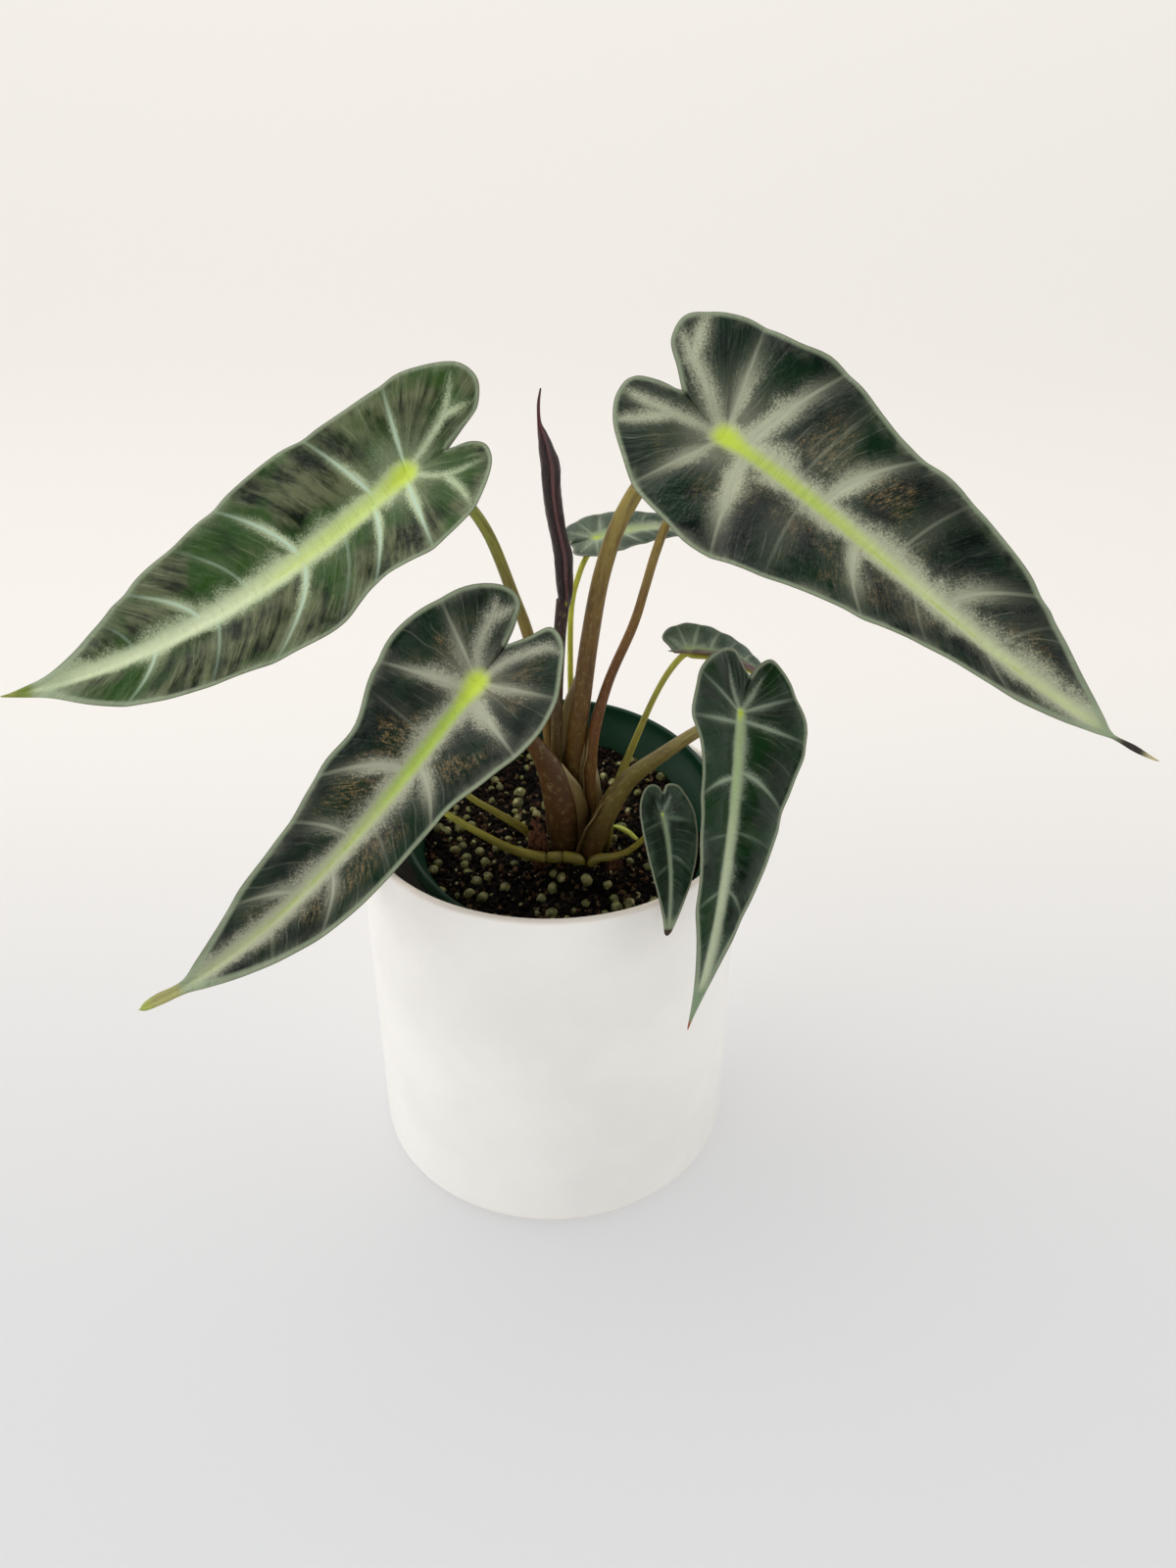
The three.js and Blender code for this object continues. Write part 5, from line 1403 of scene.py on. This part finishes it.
def dry_sheath_skin():
    finish, tree, shader = new_finish("dry_sheath")
    place = object_place(tree)
    fibre = grain(tree, scaled(tree, place, (1, 1, 0.25)), 1300, 4, 0.7)
    tone = mixed(tree, fade(tree, fibre, 0.36, 0.64), colour(*SHEATH_DARK), colour(*SHEATH_LIGHT))
    pale = fade(tree, grain(tree, place, 420, 3), 0.58, 0.7, 0, 0.7)
    tone = mixed(tree, pale, tone, colour(*SHEATH_PALE))
    dress(tree, shader, tone, 0.75, fibre, 0.7)
    return finish


def crown_piece(finish, dry_finish):
    r = CROWN_RADIUS
    profile = [(0, -10), (0.6 * r, -9.2), (0.94 * r, -6), (r, -2), (r, 0.3), (0.96 * r, 0.9),
               (0.9 * r, 1.5), (0.76 * r, 2.1), (0.62 * r, 2.4), (0.36 * r, 2.8), (0, CROWN_TOP)]
    points, faces = turned(profile, CROWN_AROUND)
    for point in points:
        turn = math.atan2(point[1], point[0])
        rough = noise.noise((2.5 * math.cos(turn), 2.5 * math.sin(turn), point[2] * 0.9))
        point[:2] *= 1 + CROWN_ROUGHNESS * rough
    points = in_liner(points + np.array([*CROWN_CENTRE, SOIL_TOP]))
    faces = [list(face) for face in faces]
    corm_faces = len(faces)
    for sheath in OLD_SHEATHS:
        part, sides, _ = limb(sheath, around=28, squash=0.5)
        torn = np.array([noise.noise(p * 0.5) + 0.5 * noise.noise(p * 1.4) for p in part])
        part = part + np.stack([torn, -torn, 0 * torn], axis=1)
        faces += [[v + len(points) for v in side] for side in sides]
        points = np.vstack([points, part])
    piece = new_piece("crown_grown", points, faces, finish, dry_finish)
    piece.data.polygons.foreach_set("material_index", [0] * corm_faces + [1] * (len(faces) - corm_faces))
    return piece


crown = crown_piece(corm_skin(), dry_sheath_skin())
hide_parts("crown")
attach(crown, "root")
heaped = strewn_piece("soil_on_crown", crown, scatter_tree(
    "crumbs on the crown", mix_look, seed=53, density=520000, sizes=(0.5, 1.5), flatness=0.75, lumps=1.0))
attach(heaped, "root")

# Spear: the youngest leaf on its own stem, its blade still rolled round itself with one free edge. It is
# dark maroon and wrinkled lengthwise, with painted pinkish highlights on the ridge by its free edge and
# painted glints on its puckers. The section is (turn, share of the radius), from the free edge on.
SPEAR_STEM = [(1.2, 3.2, 104, 1.5), (1.5, 3.2, 130, 1.7), (2.2, 3.4, 165, 1.75), (3.0, 4, 183, 1.85),
              (3.4, 4.3, 190, 1.95), (4.3, 4.5, 199, 2.1)]
SPEAR_SCROLL = [(4.6, 4.5, 197, 1.7), (4.9, 4.5, 200, 2.1), (4.9, 4.5, 203.5, 2.45), (4.6, 4.5, 210, 2.75),
                (4.3, 4.5, 214, 2.7), (2.6, 4.5, 222.5, 2.55), (1.4, 4.5, 231.5, 2.65),
                (0.9, 4.5, 240, 2.7), (-0.1, 4.5, 245, 2.1), (-1.1, 4.5, 249, 1.4), (-2, 4.5, 252.5, 0.6),
                (-2.1, 4.5, 257.5, 0.45), (-1.5, 4.5, 261.5, 0.25)]
SCROLL_SECTION = [(0, 0.62), (0.07, 0.88), (0.14, 1.04), (0.35, 1.08), (0.6, 0.97), (0.85, 0.84),
                  (1.15, 0.94), (1.8, 1.0), (3.0, 0.97), (4.2, 1.0), (5.2, 1.0), (5.65, 0.93), (6.0, 0.78),
                  (6.2832, 0.62)]
SCROLL_FACES = -1.65
SPEAR_STEM_LENGTH = 90
BUD_SPOT = (0.0047, 0.0024, 0.1985)
SPEAR_EDGE_HIGHLIGHT = (104, 58, 60)
SPEAR_DARK = (18, 10, 12)
SPEAR_LIGHT = (62, 34, 34)
SPEAR_TIP = (104, 52, 50)
SPEAR_PUCKER_GLINT = (132, 108, 104)
BUD_TINT = (150, 150, 40)


def spear_skin():
    finish, tree, shader = new_finish("spear_skin")
    lay, along = remembered(tree, "lay"), remembered(tree, "along")
    streak = grain(tree, scaled(tree, lay, (1.3, 1.3, 0.16)), 1.0, 5, 0.65)
    pucker = grain(tree, scaled(tree, lay, (1.2, 1.2, 0.7)), 1.0, 4, 0.7)
    skin = mixed(tree, fade(tree, streak, 0.35, 0.68), colour(*SPEAR_DARK), colour(*SPEAR_LIGHT))
    # Painted highlight: a pinkish band along the outermost bulge of the roll by its free edge
    skin = mixed(tree, fade(tree, remembered(tree, "edge"), 0.96, 1.06, 0, 0.7), skin, colour(*SPEAR_EDGE_HIGHLIGHT))
    skin = mixed(tree, fade(tree, along, 0.76, 0.88, 0, 0.75), skin, colour(*SPEAR_TIP))
    # Painted glints: pale pinkish-grey spots on the tops of the puckers
    skin = mixed(tree, fade(tree, pucker, 0.6, 0.72, 0, 0.6), skin, colour(*SPEAR_PUCKER_GLINT))
    away = vectors(tree, "DISTANCE", object_place(tree), BUD_SPOT, "Value")
    skin = mixed(tree, fade(tree, away, 0.0012, 0.0007), skin, colour(*BUD_TINT))
    dress(tree, shader, skin, 0.28, plus(tree, streak, pucker), 0.5)
    return finish


def scroll(stations, around=60, per_step=10):
    """A furled blade: its section runs once round and ends in a free edge, which stands over a deep fold"""
    line = smooth_line(stations, per_step, True)
    turns, reaches = np.array(SCROLL_SECTION).T
    shares = np.linspace(0, 1, around, endpoint=False)
    turns_used = 2 * math.pi * (0.75 * shares + 0.25 * shares**3)
    points, knows = [], []
    for x, y, z, radius in line:
        facing = SCROLL_FACES + 0.3 * noise.noise((0.0, z * 0.05, 5.0))
        for turn, reach in zip(turns_used, np.interp(turns_used, turns, reaches)):
            wrinkle = 0.12 * noise.noise((turn * 2.1, z * 0.13, 2.0))
            wrinkle += 0.07 * noise.noise((turn * 5, z * 0.3, 7.0))
            out = radius * (reach + wrinkle * min(1, radius / 1.5))
            points.append((x + out * math.cos(facing + turn), y + out * math.sin(facing + turn), z))
            knows.append((3 * math.cos(turn), 3 * math.sin(turn), z, reach))
    for (x, y, z, radius), end in ((line[0], -1), (line[-1], 1)):
        points.append((x, y, z + end * radius * 0.8))
        knows.append((0, 0, z + end * radius * 0.8, 0))
    return np.array(points), tube_faces(len(line), around), np.array(knows)


def spear_piece():
    stem_points, stem_faces, stem_knows = limb(SPEAR_STEM)
    blade_points, blade_faces, blade_knows = scroll(SPEAR_SCROLL)
    faces = stem_faces + [[v + len(stem_points) for v in face] for face in blade_faces]
    stem_finish = stem_skin("spear_stem", (96, 84, 34), (92, 76, 38), (50, 32, 36))
    piece = new_piece("spear_leaf_rolled", np.vstack([stem_points, blade_points]), faces, stem_finish,
                      spear_skin())
    piece.data.polygons.foreach_set("material_index", [0] * len(stem_faces) + [1] * len(blade_faces))
    base, top = SPEAR_SCROLL[0][2], SPEAR_SCROLL[-1][2]
    along = np.append(stem_knows[:, 2] / SPEAR_STEM_LENGTH, (blade_knows[:, 2] - base) / (top - base))
    edge = np.append(0.9 + 0 * stem_knows[:, 0], blade_knows[:, 3])
    remember(piece, along=along, edge=edge, lay=np.vstack([stem_knows, blade_knows[:, :3]]))
    return piece


spear = spear_piece()
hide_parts("spear_leaf")
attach(spear, "root")

# Shoot: a yellow-green tip of the next growth, lying out over the mix.
SHOOT = [(16, 6.5, 104, 0.8), (18, 8.5, 111, 0.9), (21, 8.5, 114.5, 1), (25, 6, 114.5, 1),
         (28.5, 3.5, 112.8, 0.7)]
SHOOT_DARK = (150, 168, 48)
SHOOT_LIGHT = (206, 212, 92)


def shoot_piece():
    finish, tree, shader = new_finish("shoot_skin")
    streak = grain(tree, scaled(tree, remembered(tree, "lay"), (1, 1, 0.2)), 1.0, 3)
    skin = mixed(tree, streak, colour(*SHOOT_DARK), colour(*SHOOT_LIGHT))
    dress(tree, shader, skin, 0.45, streak, 0.15)
    points, faces, knows = limb(SHOOT, squash=0.7)
    piece = new_piece("new_shoot_grown", points, faces, finish)
    remember(piece, lay=knows)
    return piece


shoot = shoot_piece()
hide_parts("new_shoot")
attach(shoot, "root")
